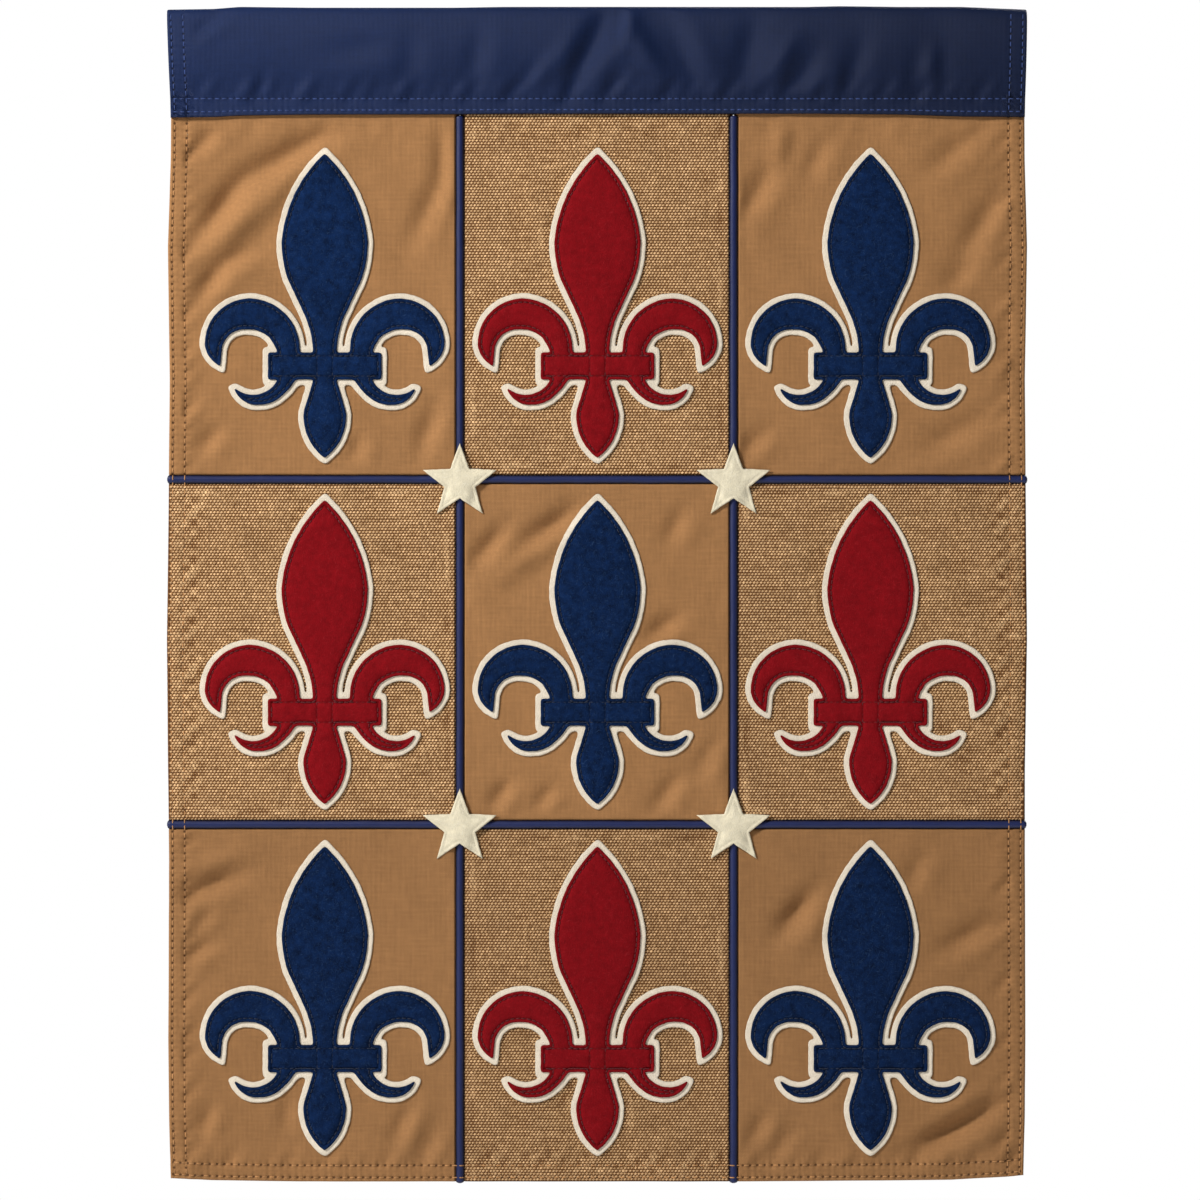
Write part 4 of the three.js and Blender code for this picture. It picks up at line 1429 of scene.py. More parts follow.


# Where the needle holes get their painted shade, along the hem and sleeve rows.
def hole_mask(tree):
    masks = []
    for name in ("side_row", "foot_row"):
        row = attribute(tree, name, "Vector")
        masks.append(use_group("Needle holes", Row=row, Reach=0.62)["Mask"])
    return calc("MAXIMUM", *masks)


def plain_cloth(colours, sizes):
    material, tree, shader = new_material("Plain tan cloth", 0.75, 0.0, 0.2)
    place = object_place(tree)
    x, _, z = split(place)
    weave = use_group("Fine weave", Across=x, Along=z, Pitch=sizes.fine_pitch)
    # Random tone of the cloth times its painted shade.
    shade = use_group("Uneven dye", Place=place, Amount=0.10)["Factor"] * attribute(tree, "dye")
    threads = (weave["Height"] * 0.7 + 0.52) * use_group("Uneven threads", Place=place)["Factor"]
    threads = threads + weave["Over"] * 0.05
    # Painted shade in the needle holes.
    holes = hole_mask(tree)
    colour = blend_colours(holes * 0.85, scaled(colours.plain, shade * threads), colours.hole)
    dress(shader, colour, sewn_relief(tree, weave, holes, 1.2), 0.00014, 0.9)
    return material


def coarse_ground(colours, sizes):
    material, tree, shader = new_material("Coarse cloth ground", 0.9, 0.1, 0.2)
    place = object_place(tree)
    ground = use_group("Coarse ground", Place=place, Warp=sizes.warp_pitch, Weft=sizes.weft_pitch)
    # Random tone of the cloth times its painted shade.
    shade = use_group("Uneven dye", Place=place, Amount=0.25)["Factor"] * attribute(tree, "dye")
    # Painted shade in the holes, with the warp yarns' own colour beside them.
    colour = blend_colours(ground["Yarn"], colours.coarse_gap_shade, colours.coarse_warp)
    # The floats are meshes on the front only, so the back has them as colour.
    behind = ground["Float"] ** 0.5 * attribute(tree, "behind")
    colour = scaled(blend_colours(behind, colour, colours.coarse_yarn), shade)
    # Painted shade in the needle holes.
    colour = blend_colours(hole_mask(tree) * 0.7, colour, colours.hole)
    dress(shader, colour, ground["Height"], 0.0003)
    return material


def coarse_yarn(colours):
    material, tree, shader = new_material("Coarse yarn", 0.85, 0.15, 0.25)
    place = object_place(tree)
    fuzz = noise(place, 0.0004, 2.0, 0.6, (0.5, 1.0, 2.0))
    shade = attribute(tree, "shade") + use_group("Uneven dye", Place=place, Amount=0.12)["Factor"]
    # Random tone of each yarn times the panel's painted shade, which also turns it towards the warp colour.
    shade = (shade + (fuzz - 0.5) * 0.35) * attribute(tree, "dye")
    light = calc("MULTIPLY", shade, 0.8, clamp=True)
    colour = scaled(blend_colours(light, colours.coarse_warp, colours.coarse_yarn), shade)
    dress(shader, colour, fuzz, 0.0001)
    return material


def navy_cloth(colours, sizes):
    material, tree, shader = new_material("Sleeve cloth", 0.48, 0.0, 0.16)
    place = object_place(tree)
    across, down, _ = split(attribute(tree, "flat_place", "Vector"))
    weave = use_group("Fine weave", Across=across, Along=down, Pitch=sizes.fine_pitch)
    # Random tone times the sleeve's painted shade.
    shade = use_group("Uneven dye", Place=place, Amount=0.16)["Factor"] * attribute(tree, "dye")
    shade = shade * use_group("Uneven threads", Place=place)["Factor"]
    colour = scaled(colours.navy, shade * (weave["Height"] * 0.3 + 0.78))
    # Painted shade in the needle holes.
    holes = hole_mask(tree) * 0.8
    colour = blend_colours(holes, colour, tone(10, 12, 26))
    dress(shader, colour, sewn_relief(tree, weave, holes, 0.4), 0.00014, 0.8)
    return material


def cord_cloth(colours, sizes):
    """The cloth round the cord, cut at a slant to its threads."""
    material, tree, shader = new_material("Piping cloth", 0.42, 0.0, 0.4)
    around, down, _ = split(attribute(tree, "flat_place", "Vector"))
    weave = use_group("Fine weave", Across=around + down, Along=around - down, Pitch=sizes.fine_pitch)
    drift = use_group("Uneven dye", Place=object_place(tree), Amount=0.3)["Factor"]
    # The cord's painted shade darkens it where it goes down between the cloths.
    shade = drift * (weave["Height"] * 0.5 + 0.68) * attribute(tree, "dye")
    dress(shader, scaled(colours.cord, shade), weave["Height"], 0.00004)
    return material


def felt(name, colour, mottle, fibre_colour, fibre_share, sheen):
    material, tree, shader = new_material(name, 0.95, sheen, 0.08)
    nap = use_group("Felt nap", Place=object_place(tree))
    # The felt's painted shade: darker at its cut edge, in its seams and away from the lamp.
    shade = (nap["Tone"] * mottle + (1 - 0.5 * mottle)) * attribute(tree, "dye")
    colour = blend_colours(nap["Fibre"] * fibre_share, scaled(colour, shade), fibre_colour)
    dress(shader, colour, nap["Height"], 0.00022)
    return material


def thread(name, colour):
    material, tree, shader = new_material(name, 0.6, 0.1, 0.35)
    strands = noise(object_place(tree), 0.0004, 2.0, 0.6)
    shade = strands * 0.5 + 0.75 + attribute(tree, "shade")
    dress(shader, scaled(colour, shade), strands, 0.0001)
    return material


# Operators.


class FLAG_OT_stage(Operator):
    """Adds the camera, the lights and the pale floor"""

    bl_idname = "flag.stage"
    bl_label = "Stage"

    # Half the picture's width at the flag, and the middle of the picture, in metres.
    picture_wide = 0.46046
    picture_middle = (0.00115, -0.22756)
    camera_far = 2.5
    sensor = 36.0

    def execute(self, context):
        scene = context.scene
        scene.view_settings.view_transform = "Standard"
        camera = bpy.data.objects.new("camera", bpy.data.cameras.new("camera"))
        scene.collection.objects.link(camera)
        camera.data.sensor_width = self.sensor
        camera.data.lens = self.sensor * self.camera_far / self.picture_wide
        camera.location = (self.picture_middle[0], -self.camera_far, self.picture_middle[1])
        camera.rotation_euler = (math.radians(90), 0, 0)
        scene.camera = camera
        self.light("key", (-1.46, -1.14, 1.02), 0.4, 59.5, (1.0, 0.985, 0.96))
        self.light("back_fill", (0.9, 1.5, 0.8), 1.2, 40.0, (0.97, 0.98, 1.0))
        self.world(scene)
        self.floor(scene)
        return {"FINISHED"}

    def light(self, name, place, size, power, colour):
        data = bpy.data.lights.new(name, "AREA")
        data.shape = "DISK"
        data.size = size
        data.energy = power
        data.color = colour
        lamp = bpy.data.objects.new(name, data)
        bpy.context.scene.collection.objects.link(lamp)
        lamp.location = place
        aim = Vector((0, 0, -0.225)) - Vector(place)
        lamp.rotation_euler = aim.to_track_quat("-Z", "Y").to_euler()

    def world(self, scene):
        """White behind the flag, and a softer even light on it."""
        world = bpy.data.worlds.new("studio")
        scene.world = world
        world.use_nodes = True
        tree = world.node_tree
        seen = tree.nodes["Background"]
        set_inputs(seen, Color=(1, 1, 1, 1), Strength=1.0)
        soft = add_node(tree, "ShaderNodeBackground")
        set_inputs(soft, Color=(0.96, 0.98, 1.0, 1), Strength=0.13)
        choose = add_node(tree, "ShaderNodeMixShader")
        path = add_node(tree, "ShaderNodeLightPath")
        given = (path.outputs["Is Camera Ray"], soft.outputs[0], seen.outputs[0])
        for socket, source in zip(choose.inputs, given):
            feed(socket, Value(source))
        set_inputs(tree.nodes["World Output"], Surface=Value(choose.outputs[0]))

    def floor(self, scene):
        reach, low = 1.6, -0.62
        mesh = bpy.data.meshes.new("floor")
        corners = [(x * reach, z * reach, low) for x, z in ((-1, -1), (1, -1), (1, 1), (-1, 1))]
        mesh.from_pydata(corners, [], [(0, 1, 2, 3)])
        floor = bpy.data.objects.new("floor", mesh)
        scene.collection.objects.link(floor)
        material, tree, shader = new_material("Pale floor", 0.8)
        cloudy = noise(object_place(tree), 0.4) * 0.04 + 0.96
        set_inputs(shader, Base_Color=scaled((0.82, 0.82, 0.81), cloudy))
        mesh.materials.append(material)


class FLAG_OT_panels(Operator):
    """Adds the nine patchwork panels with their folded hems and the yarns of the coarse ones"""

    bl_idname = "flag.panels"
    bl_label = "Panels"

    def execute(self, context):
        sizes, colours = context.scene.flag_sizes, context.scene.flag_colours
        looks = {"plain": plain_cloth(colours, sizes), "coarse": coarse_ground(colours, sizes)}
        yarn = coarse_yarn(colours)
        for row in ROWS:
            for column in COLUMNS:
                shape = PanelShape(row, column, sizes)
                piece, flat = build_panel(shape, looks[shape.weave])
                if shape.weave == "coarse":
                    build_yarns(shape, yarn)
        return {"FINISHED"}


class FLAG_OT_sleeve(Operator):
    """Adds the rod sleeve, one cloth folded over with its two legs sewn to the panels' top edge"""

    bl_idname = "flag.sleeve"
    bl_label = "Rod sleeve"

    def execute(self, context):
        sizes, colours = context.scene.flag_sizes, context.scene.flag_colours
        shape = SleeveShape(sizes)
        points, faces, flat, rows, dye = shape.solid()
        far = np.tile((NO_ROW, 0.0, 0.0), (len(points), 1))
        attributes = {"flat_place": flat, "side_row": rows, "foot_row": far, "dye": dye}
        mesh = make_mesh("sleeve_cloth", points, faces, attributes)
        piece = place_object("sleeve_cloth", mesh, navy_cloth(colours, sizes), ["rod_sleeve"])
        return {"FINISHED"}


def edge_shares(z):
    """How far a height of the sleeve follows its uneven lower edge and its top edge, 0 to 1."""
    seam = np.clip((SLEEVE_SEAM - z) / (SLEEVE_SEAM - SLEEVE_FOOT), 0, 1)
    crown = np.clip(1 - z / SLEEVE_CROWN, 0, 1)
    return seam, crown


class SleeveShape:
    """The sleeve: a section carried along the top, with its folds pressed in."""

    thick = 0.8
    step_x = 1.8
    step_down = 1.3
    end_hem = 7.2
    end_lines = (0, 0.12, 0.35, 0.8, 1.6, 2.4, 4.4, 6.2, 7.0, 7.4)

    def __init__(self, sizes):
        self.section = self.smooth(np.array(SLEEVE_SECTION, float))
        self.pitch = sizes.sleeve_stitch / MM
        self.rows = sizes.sleeve_low_row / MM, sizes.sleeve_high_row / MM

    def smooth(self, rows):
        """The section as a dense smooth line through its points."""
        first = 2 * rows[0] - rows[1]
        last = np.array((-rows[-2][0], rows[-2][1]))
        held = np.vstack((first, rows, last))
        line = []
        for k in range(1, len(held) - 2):
            a, b, c, d = held[k - 1:k + 3]
            for t in np.linspace(0, 1, 24, endpoint=False):
                line.append(0.5 * (2 * b + (c - a) * t + (2 * a - 5 * b + 4 * c - d) * t ** 2
                                   + (3 * b - a - 3 * c + d) * t ** 3))
        line.append(rows[-1])
        return np.array(line)

    def half_depth(self, z):
        """Outer half depth of the tube at a height of the plain section."""
        return np.interp(z, self.section[:, 1], self.section[:, 0])

    def pinch(self, x):
        return sum(row.pinch * bell(x - row.x, row.wide) for row in PINCHES)

    def relief(self, x, z, front):
        """Folds and puckers pressed into one face, positive where it draws in."""
        rows_hold = 0.45 + 0.55 * smooth_step((z - SLEEVE_FOOT - 6.5) / 6)
        crown_hold = smooth_step(-z / 3)
        low, high = self.rows
        above = z - SLEEVE_FOOT
        if front:
            folds = 1.3 * fold_sum(SLEEVE_FOLDS, x, z)
            deep, wave = 0.6, ripple(x - 0.55 * z, 71)
        else:
            folds = 0.6 * fold_sum(SLEEVE_FOLDS, -x, z)
            deep, wave = 0.34, ripple(x + 0.5 * z, 73)
        small = deep * bell(above - high - 3.0, 4.2) * (above > high - 1) * wave
        ends = smooth_step((164 - np.abs(x) - 7.5) / 6)
        grooves = 0.14 * (bell(above - low, 0.5) + bell(above - high, 0.5))
        grooves -= 0.10 * bell(above - (low + high) / 2, 1.5)
        beside = 164.4 - np.abs(x)
        grooves += 0.12 * (bell(beside - END_ROWS[0], 0.5) + bell(beside - END_ROWS[1], 0.5))
        return folds * rows_hold * crown_hold * ends + small * ends + grooves * (above < 40)

    def seam_bulge(self, x, z):
        """The rear leg steps over the turned seams of the panels."""
        near = sum(bell(x - line, 4.2) for line in PIPING_X.values())
        return LIP_DEEP * near * smooth_step((-36.5 - z) / 3.5)

    def place(self, x, plain_z, depth, front):
        """One face's points. plain_z is the height in the plain section, depth its half depth."""
        out = -1 if front else 1
        seam, crown = edge_shares(plain_z)
        hollow = np.clip((plain_z - SLEEVE_WEB) / SLEEVE_FILL, 0, 1)
        half = depth * (1 - self.pinch(x) * hollow) - self.relief(x, plain_z, front)
        if not front:
            half = half + self.seam_bulge(x, plain_z)
        y = hang(x, np.full_like(x, SEAM_LINE)) + out * half
        z = plain_z + crown * along(SLEEVE_EDGES, "x", "top", x) + seam * along(SLEEVE_EDGES, "x", "foot", x)
        return y, z

    def stations(self):
        lines = np.array(self.end_lines)
        count = round((328 - 2 * lines[-1]) / self.step_x)
        shares = np.arange(1, count) / count
        return np.concatenate((
            np.stack((0 * lines, lines), 1),
            np.stack((shares, lines[-1] * (1 - 2 * shares)), 1),
            np.stack((0 * lines + 1, -lines[::-1]), 1),
        ))

    def solid(self):
        line = self.section
        reach = reach_along(line)
        count = round(reach[-1] / self.step_down)
        marks = np.concatenate(([0, 0.25, 0.7], np.linspace(1.2, reach[-1], count)))
        depth = np.interp(marks, reach, line[:, 0])
        height = np.interp(marks, reach, line[:, 1])
        # From the front leg's lower edge over the crown to the rear leg's lower edge.
        sides = np.concatenate((np.ones(len(marks)), np.zeros(len(marks) - 1)))
        depths = np.concatenate((depth, depth[-2::-1]))
        heights = np.concatenate((height, height[-2::-1]))
        flats = np.concatenate((marks, 2 * reach[-1] - marks[-2::-1]))
        # The front leg runs upwards, so the rows are turned to run down from the rear leg's end.
        sides, depths, heights, flats = (values[::-1] for values in (sides, depths, heights, flats))
        stations = self.stations()
        share_x, offset_x = stations[None, :, 0], stations[None, :, 1]
        down = np.clip(heights / SLEEVE_FOOT, 0, 1)[:, None]
        left = SLEEVE_END["left"][0] * (1 - down) + SLEEVE_END["left"][1] * down
        right = SLEEVE_END["right"][0] * (1 - down) + SLEEVE_END["right"][1] * down
        x = (1 - share_x) * left + share_x * right + offset_x
        grid_z = heights[:, None] + 0 * x
        grid_d = depths[:, None] + 0 * x
        from_end = np.minimum(x - left, right - x)
        hem = smooth_step((self.end_hem - from_end) / 0.4)
        front_y, front_z = self.place(x, grid_z, grid_d, True)
        rear_y, rear_z = self.place(x, grid_z, grid_d, False)
        is_front = sides[:, None] > 0.5
        y = np.where(is_front, front_y, rear_y)
        z = np.where(is_front, front_z, rear_z)
        layer = np.stack((x, y, z), -1)
        wall = self.thick * (1 + 0.75 * hem)
        rounded = retreat(from_end, 0.55)
        points, faces = closed_grid(self.moved_in(layer, rounded), self.moved_in(layer, wall - rounded))
        flat = np.stack((x, flats[:, None] + 0 * x, 0 * x), -1).reshape(-1, 3) * MM
        rows = self.row_marks(x, grid_z, from_end).reshape(-1, 3)
        # Painted shade: a painted shadow along the lower edge, and the sleeve darker towards the right, away
        # from the lamp.
        painted_edge_shadow = 1 - 0.5 * smooth_step(1 - (grid_z - SLEEVE_FOOT) / 0.9)
        dye = (painted_edge_shadow * (0.82 - 0.25 * np.clip(x / 120, -1, 1))).ravel()
        # The inner layer has the same values as the outer one.
        return points, faces, *(np.concatenate((part, part)) for part in (flat, rows, dye))

    def moved_in(self, layer, inset):
        """A layer moved inwards along its own normals."""
        normal = unit(np.cross(np.gradient(layer, axis=0), np.gradient(layer, axis=1)))
        return layer - inset[..., None] * normal

    def row_marks(self, x, z, from_end):
        """Distance to the nearest row of stitches and the place along it in stitches."""
        level = nearest(z - SLEEVE_FOOT, *self.rows)
        upright = nearest(from_end, *END_ROWS)
        place = np.where(level < upright, x, z) / self.pitch
        return np.stack((np.minimum(level, upright), place, 0 * x), -1)

    def face(self, front):
        """The outer face as a function of a place on it, for what is sewn through it."""
        def surface(x, z):
            foot = along(SLEEVE_EDGES, "x", "foot", x)
            top = along(SLEEVE_EDGES, "x", "top", x)
            seam, crown = edge_shares(z)
            plain_z = z - seam * foot - crown * top
            y, _ = self.place(x, plain_z, self.half_depth(plain_z), front)
            return y
        return surface


def tube(line, radii, up, sides):
    """A round tube along a line, with closed ends. up is an axis that the line doesn't follow."""
    ahead = unit(np.gradient(line, axis=0))
    side = unit(np.cross(ahead, up))
    out = np.cross(side, ahead)
    turns = 2 * math.pi * np.arange(sides) / sides
    ring = np.cos(turns)[None, :, None] * side[:, None]
    ring = ring + CORD_FLAT * np.sin(turns)[None, :, None] * out[:, None]
    points = line[:, None] + radii[:, :, None] * ring
    index = np.arange(len(line) * sides).reshape(len(line), sides)
    after = np.roll(index, -1, axis=1)
    walls = np.stack((index[:-1], after[:-1], after[1:], index[1:]), -1).reshape(-1, 4)
    caps = np.stack((index[0, ::-1], index[-1]))
    lengthwise, around = np.meshgrid(reach_along(line), turns * PIPING_ROUND, indexing="ij")
    flat = np.stack((lengthwise, around, 0 * around), -1)
    # Painted shade: darker where the cord goes down between the cloths, where shade falls.
    cord_painted_shade = np.tile(0.18 + 0.82 * smooth_step((-0.4 - np.sin(turns)) / 0.55), len(line))
    return points.reshape(-1, 3), [walls, caps], flat.reshape(-1, 3) * MM, cord_painted_shade


class FLAG_OT_piping(Operator):
    """Adds the round piping between the panels"""

    bl_idname = "flag.piping"
    bl_label = "Piping"

    sides = 16
    step = 1.8

    def execute(self, context):
        sizes, colours = context.scene.flag_sizes, context.scene.flag_colours
        material = cord_cloth(colours, sizes)
        for side, z in PIPING_Z.items():
            left = float(along(SIDE_EDGES, "z", "left", z)) - PIPING_PAST_EDGE
            right = float(along(SIDE_EDGES, "z", "right", z)) + PIPING_PAST_EDGE
            self.cord(f"across_{side}", (left, z), (right, z), material)
        gap = PIPING_ROUND + GAP
        spans = {
            "top": (SLEEVE_FOOT - GAP, PIPING_Z["upper"] + gap),
            "mid": (PIPING_Z["upper"] - gap, PIPING_Z["lower"] + gap),
            "foot": (PIPING_Z["lower"] - gap, BODY_FOOT - PIPING_PAST_EDGE),
        }
        for side, x in PIPING_X.items():
            for row, (start, stop) in spans.items():
                self.cord(f"down_{side}_{row}", (x, start), (x, stop), material)
        return {"FINISHED"}

    def cord(self, name, start, stop, material):
        start, stop = np.array(start, float), np.array(stop, float)
        length = float(np.linalg.norm(stop - start))
        ends = np.array((0, 0.06, 0.25, 0.6, 1.1))
        count = round((length - 2.4) / self.step)
        marks = np.concatenate((ends, np.linspace(1.6, length - 1.6, count), length - ends[::-1]))
        places = start + (stop - start) * (marks / length)[:, None]
        y = hang(places[:, 0], places[:, 1]) - CORD_OUT
        seed = sum(map(ord, name))
        wander = 0.05 * ripple(marks, seed, (13.0, 23.0, 41.0))
        level = abs(stop[0] - start[0]) > 1
        x, z = places[:, 0] + (0 if level else wander), places[:, 1] + (wander if level else 0)
        line = np.stack((x, y, z), 1)
        from_end = np.minimum(marks, length - marks)
        closing = np.sqrt(1 - np.clip(1 - from_end / 0.7, 0, 0.94) ** 2)
        turns = np.arange(self.sides)
        wrinkle = 0.03 * ripple(marks[:, None] + 0.9 * turns, seed + 1, (2.3, 3.7, 6.1))
        radii = PIPING_ROUND * closing[:, None] * (0.985 + 0.02 * ripple(marks, seed + 2)[:, None]) + wrinkle
        points, faces, flat, cord_painted_shade = tube(line, np.minimum(radii, PIPING_ROUND), (0, 1, 0), self.sides)
        mesh = make_mesh(f"cord_{name}", points, faces, {"flat_place": flat, "dye": cord_painted_shade})
        place_object(f"cord_{name}", mesh, material, [f"piping_{name}"])


# Painted shade: felts darker lower down and to the right, away from the lamp.
FELT_PAINTED_SHADE = {
    ("top", "left"): 1.12, ("top", "mid"): 1.0, ("top", "right"): 0.98,
    ("mid", "left"): 1.02, ("mid", "mid"): 0.96, ("mid", "right"): 0.95,
    ("foot", "left"): 0.9, ("foot", "mid"): 0.92, ("foot", "right"): 0.84,
}
LAYER_CLEAR = 0.08


def lay_felt(name, shape, centre, face, out, thick, dye, material, node):
    """Lays a felt on a face, out above it, with its middle at the centre."""
    points, faces = shape.solid(face, out, thick)
    mesh = make_mesh(name, points + centre, faces, {"dye": dye})
    piece = place_object(name, mesh, material, [node])


class FLAG_OT_motifs(Operator):
    """Adds the felt motifs on their cream backings, with their stitch lines"""

    bl_idname = "flag.motifs"
    bl_label = "Felt motifs"

    def execute(self, context):
        sizes, colours = context.scene.flag_sizes, context.scene.flag_colours
        thick = sizes.felt_thick / MM
        backing = FeltShape(BACKING_EDGE, BORDER_RINGS, 0.07, 201, 3)
        motif = FeltShape(MOTIF_EDGE, FELT_RINGS, 0.05, 203, 1, INNER_SEAMS, sizes.felt_seam / MM)
        cream = felt("Cream felt", colours.cream, 0.5, tone(255, 250, 240), 0.5, 0.15)
        looks = {
            "plain": ("blue", felt("Blue felt", colours.blue, 3.0, tone(48, 72, 108), 0.5, 0.0)),
            "coarse": ("red", felt("Red felt", colours.red, 1.2, tone(168, 44, 50), 0.35, 0.0)),
        }
        for row in ROWS:
            for column in COLUMNS:
                colour, material = looks[weave_of(row, column)]
                place = f"{row}_{column}"
                centre = np.array((MOTIF_X[column], 0, MOTIF_Z[row]))
                face = self.surface(row, column, sizes)
                # Painted shade on the cream: darker at its cut edge and in its seams.
                dye = backing.tones(0.24, 0.42)
                lay_felt(f"backing_felt_{place}", backing, centre, face, LAYER_CLEAR, thick, dye,
                         cream, f"backing_{place}")
                # Painted shade on the motif: darker at its cut edge, in its seams and away from the lamp.
                dye = FELT_PAINTED_SHADE[(row, column)] * motif.tones(0.2, 0.42)
                lay_felt(f"motif_felt_{place}", motif, centre, face, 2 * LAYER_CLEAR + thick, thick, dye,
                         material, f"fleur_{place}")
        steps = np.concatenate([walk(run, sizes.felt_stitch / MM) for run in motif.seam_runs()])
        for weave, (colour, _) in looks.items():
            self.stitches(weave, colour, steps, sizes, thick)
        return {"FINISHED"}

    def surface(self, row, column, sizes):
        """The panel's front face as a function of a place from the motif's middle."""
        weave = weave_of(row, column)
        centre_x, centre_z = MOTIF_X[column], MOTIF_Z[row]

        def face(x, z):
            return drape(x + centre_x, z + centre_z, weave, sizes) + CLOTH_FRONT
        return face

    def stitches(self, weave, colour, steps, sizes, thick):
        """The stitches of all motifs on one kind of cloth."""
        out = 2 * LAYER_CLEAR + thick + thick - 0.2
        ends = np.concatenate([steps + np.array((MOTIF_X[column], MOTIF_Z[row]))
                               for row in ROWS for column in COLUMNS if weave_of(row, column) == weave])

        def face(x, z):
            return drape(x, z, weave, sizes) + CLOTH_FRONT - out

        def back(x, z):
            return drape(x, z, weave, sizes) + CLOTH_BACK + (0.12 if weave == "coarse" else 0.04)
        shade = tone(16, 30, 56) if colour == "blue" else tone(96, 12, 20)
        material = thread(f"{colour.title()} felt thread", shade)
        names = f"motif_stitches_{colour}", f"motif_stitches_back_{colour}"
        sew(names, ends, (face, back), 0.2, material)


class FLAG_OT_stars(Operator):
    """Adds the felt stars over the crossings of the piping"""

    bl_idname = "flag.stars"
    bl_label = "Stars"

    seam_in = 1.3
    thick = 0.75
    rings = (0.05, 0.16, 0.36, 0.7, 1.0, 1.3, 1.6, 2.2, 3.0)

    def execute(self, context):
        colours = context.scene.flag_colours
        shape = FeltShape(STAR_EDGE, self.rings, 0.06, 307, 0, (), self.seam_in, 0.14)
        material = felt("Star felt", colours.star, 0.8, tone(252, 248, 236), 0.4, 0.12)
        for level, z in PIPING_Z.items():
            for side, x in PIPING_X.items():
                centre = np.array((x, 0, z - STAR_BELOW))
                face = self.surface(x, z - STAR_BELOW, z)
                # The star's painted shade is darker at its cut edge and along its stitch line.
                lay_felt(f"star_felt_{level}_{side}", shape, centre, face, 0.0, self.thick,
                         shape.tones(0.12, 0.05), material, f"star_{level}_{side}")
        return {"FINISHED"}

    def surface(self, centre_x, centre_z, cord_z):
        """Where a star's back lies: tented over the two cords and bent down to the cloth outside."""
        def face(x, z):
            near = np.minimum(np.abs(x), np.abs(z + centre_z - cord_z))
            reach = np.hypot(x, z)
            over = CORD_OUT + CORD_FLAT * PIPING_ROUND + 0.1
            low = -CLOTH_FRONT + 0.12
            drop = (over - low) * smooth_step((near - 1.7) / 3.5) * smooth_step((reach - 3) / 6)
            return hang(x + centre_x, z + centre_z) - over + drop
        return face


class FLAG_OT_hem_stitches(Operator):
    """Adds the two rows of stitches along the side and foot hems, front and back"""

    bl_idname = "flag.hem_stitches"
    bl_label = "Hem stitches"

    def execute(self, context):
        sizes, colours = context.scene.flag_sizes, context.scene.flag_colours
        material = thread("Hem thread", colours.tan_thread)
        pitch = sizes.hem_stitch / MM
        offsets = sizes.hem_outer_row / MM, sizes.hem_inner_row / MM
        ends = []
        z = even_stitches(-449.5, SLEEVE_FOOT - 1.2, pitch)
        for side, sign in (("left", 1), ("right", -1)):
            for offset in offsets:
                ends.append(np.stack((along(SIDE_EDGES, "z", side, z) + sign * offset, z), -1))
        x = even_stitches(-162.5, 162.5, pitch)
        for offset in offsets:
            ends.append(np.stack((x, along(FOOT_EDGE, "x", "z", x) + offset), -1))
        body = BodyFaces(sizes)
        sew(("hem_stitches", "hem_stitches_back"), np.concatenate(ends), (body.front, body.back),
            sizes.thread_round / MM, material)
        return {"FINISHED"}


class BodyFaces:
    """The front and back of the whole body, cords and all, for the threads that run over them."""

    def __init__(self, sizes):
        self.shapes = {(row, column): PanelShape(row, column, sizes) for row in ROWS for column in COLUMNS}

    def pick(self, x, z, name):
        row = np.where(z > PIPING_Z["upper"], 0, np.where(z > PIPING_Z["lower"], 1, 2))
        column = np.where(x < PIPING_X["left"], 0, np.where(x < PIPING_X["right"], 1, 2))
        y = np.zeros_like(x)
        for (row_name, column_name), shape in self.shapes.items():
            here = (row == ROWS.index(row_name)) & (column == COLUMNS.index(column_name))
            if here.any():
                y[here] = getattr(shape, name)(x[here], z[here])
        return y

    def front(self, x, z):
        y = self.pick(x, z, "front")
        for near in (nearest(x, *PIPING_X.values()), nearest(z, *PIPING_Z.values())):
            rise = CORD_FLAT * np.sqrt(np.clip(PIPING_ROUND ** 2 - near ** 2, 0, None))
            cord = hang(x, z) - CORD_OUT - rise
            y = np.where(near < PIPING_ROUND + 0.2, np.minimum(y, cord), y)
        return y

    def back(self, x, z):
        return self.pick(x, z, "back")


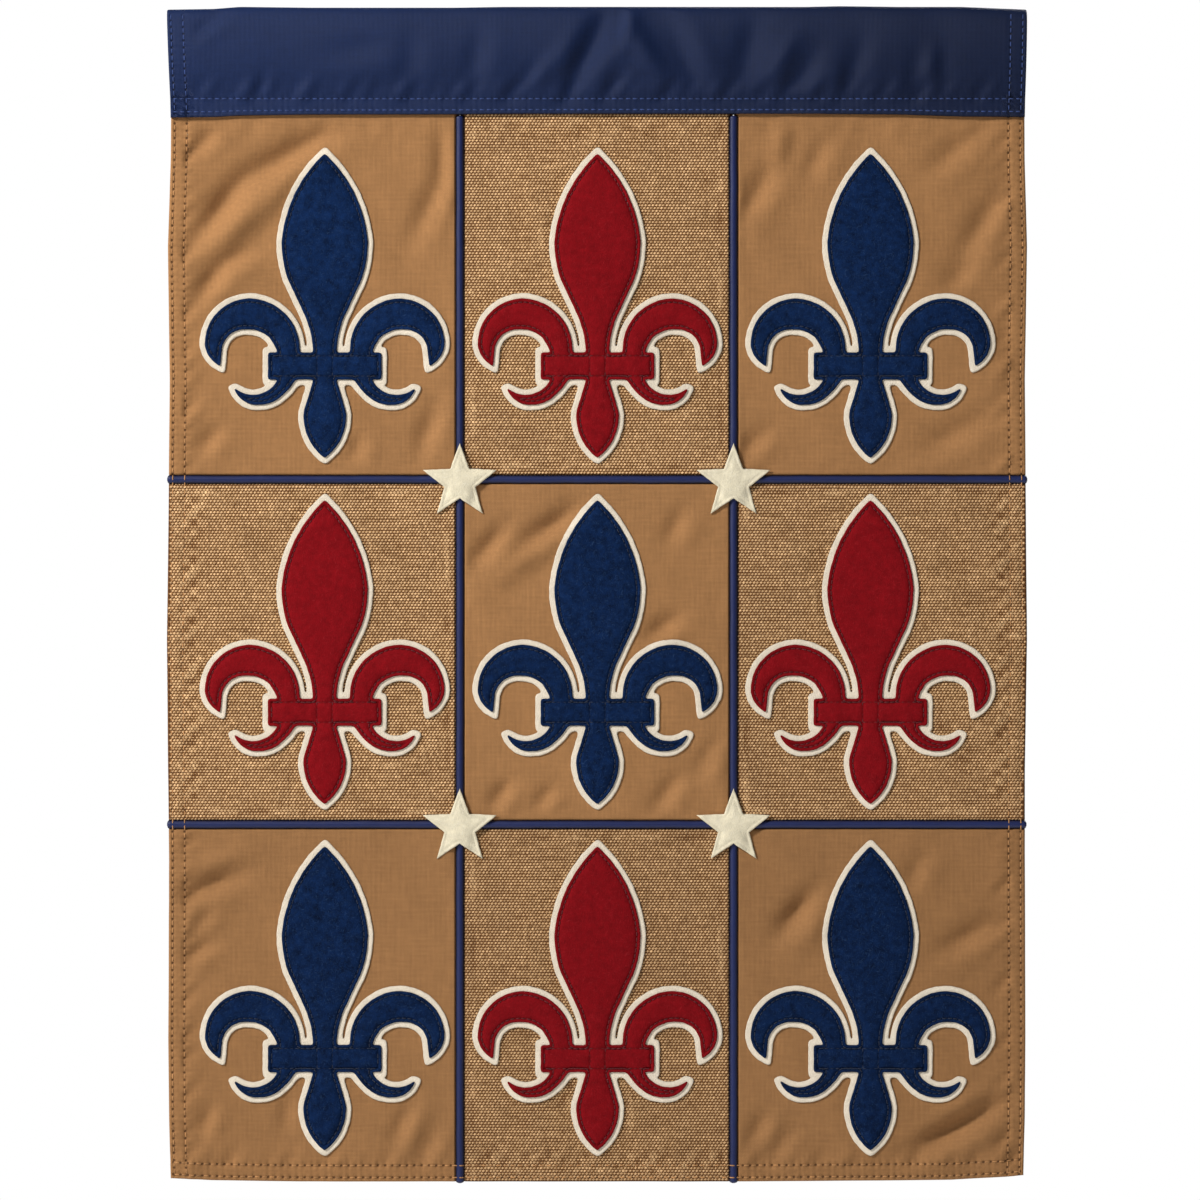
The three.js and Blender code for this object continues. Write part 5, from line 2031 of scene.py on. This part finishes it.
class FLAG_OT_sleeve_stitches(Operator):
    """Adds the rows of stitches along the sleeve's lower edge and its two ends"""

    bl_idname = "flag.sleeve_stitches"
    bl_label = "Sleeve stitches"

    def execute(self, context):
        sizes, colours = context.scene.flag_sizes, context.scene.flag_colours
        material = thread("Sleeve thread", colours.sleeve_thread)
        shape = SleeveShape(sizes)
        ends = []
        x = even_stitches(-163, 163, shape.pitch)
        for height in shape.rows:
            plain = SLEEVE_FOOT + height
            seam, _ = edge_shares(plain)
            ends.append(np.stack((x, plain + seam * along(SLEEVE_EDGES, "x", "foot", x)), -1))
        z = even_stitches(SLEEVE_FOOT + 0.6, -1.2, shape.pitch)
        down = np.clip(z / SLEEVE_FOOT, 0, 1)
        for side, sign in (("left", 1), ("right", -1)):
            top, foot = SLEEVE_END[side]
            for offset in END_ROWS:
                ends.append(np.stack((top * (1 - down) + foot * down + sign * offset, z), -1))
        sew(("sleeve_stitches", "sleeve_stitches_back"), np.concatenate(ends),
            (shape.face(True), shape.face(False)), sizes.thread_round / MM, material)
        return {"FINISHED"}


OPERATORS = (
    FLAG_OT_stage,
    FLAG_OT_sleeve,
    FLAG_OT_panels,
    FLAG_OT_piping,
    FLAG_OT_motifs,
    FLAG_OT_stars,
    FLAG_OT_hem_stitches,
    FLAG_OT_sleeve_stitches,
)


class FLAG_PT_flag(Panel):
    """Lists the flag's pieces, sizes and colours"""

    bl_idname = "FLAG_PT_flag"
    bl_label = "Garden Flag"
    bl_space_type = "VIEW_3D"
    bl_region_type = "UI"
    bl_category = "Garden Flag"

    def draw(self, context):
        for operator in OPERATORS:
            self.layout.operator(operator.bl_idname)
        for values in (context.scene.flag_sizes, context.scene.flag_colours):
            box = self.layout.box()
            for key in values.__annotations__:
                box.prop(values, key)


CLASSES = (FlagSizes, FlagColours, *OPERATORS, FLAG_PT_flag)


def register():
    for item in CLASSES:
        bpy.utils.register_class(item)
    bpy.types.Scene.flag_sizes = PointerProperty(type=FlagSizes)
    bpy.types.Scene.flag_colours = PointerProperty(type=FlagColours)


def unregister():
    del bpy.types.Scene.flag_colours
    del bpy.types.Scene.flag_sizes
    for item in reversed(CLASSES):
        bpy.utils.unregister_class(item)


def main():
    register()
    for operator in OPERATORS:
        group_name, call = operator.bl_idname.split(".")
        getattr(getattr(bpy.ops, group_name), call)()


if __name__ == "__main__":
    main()
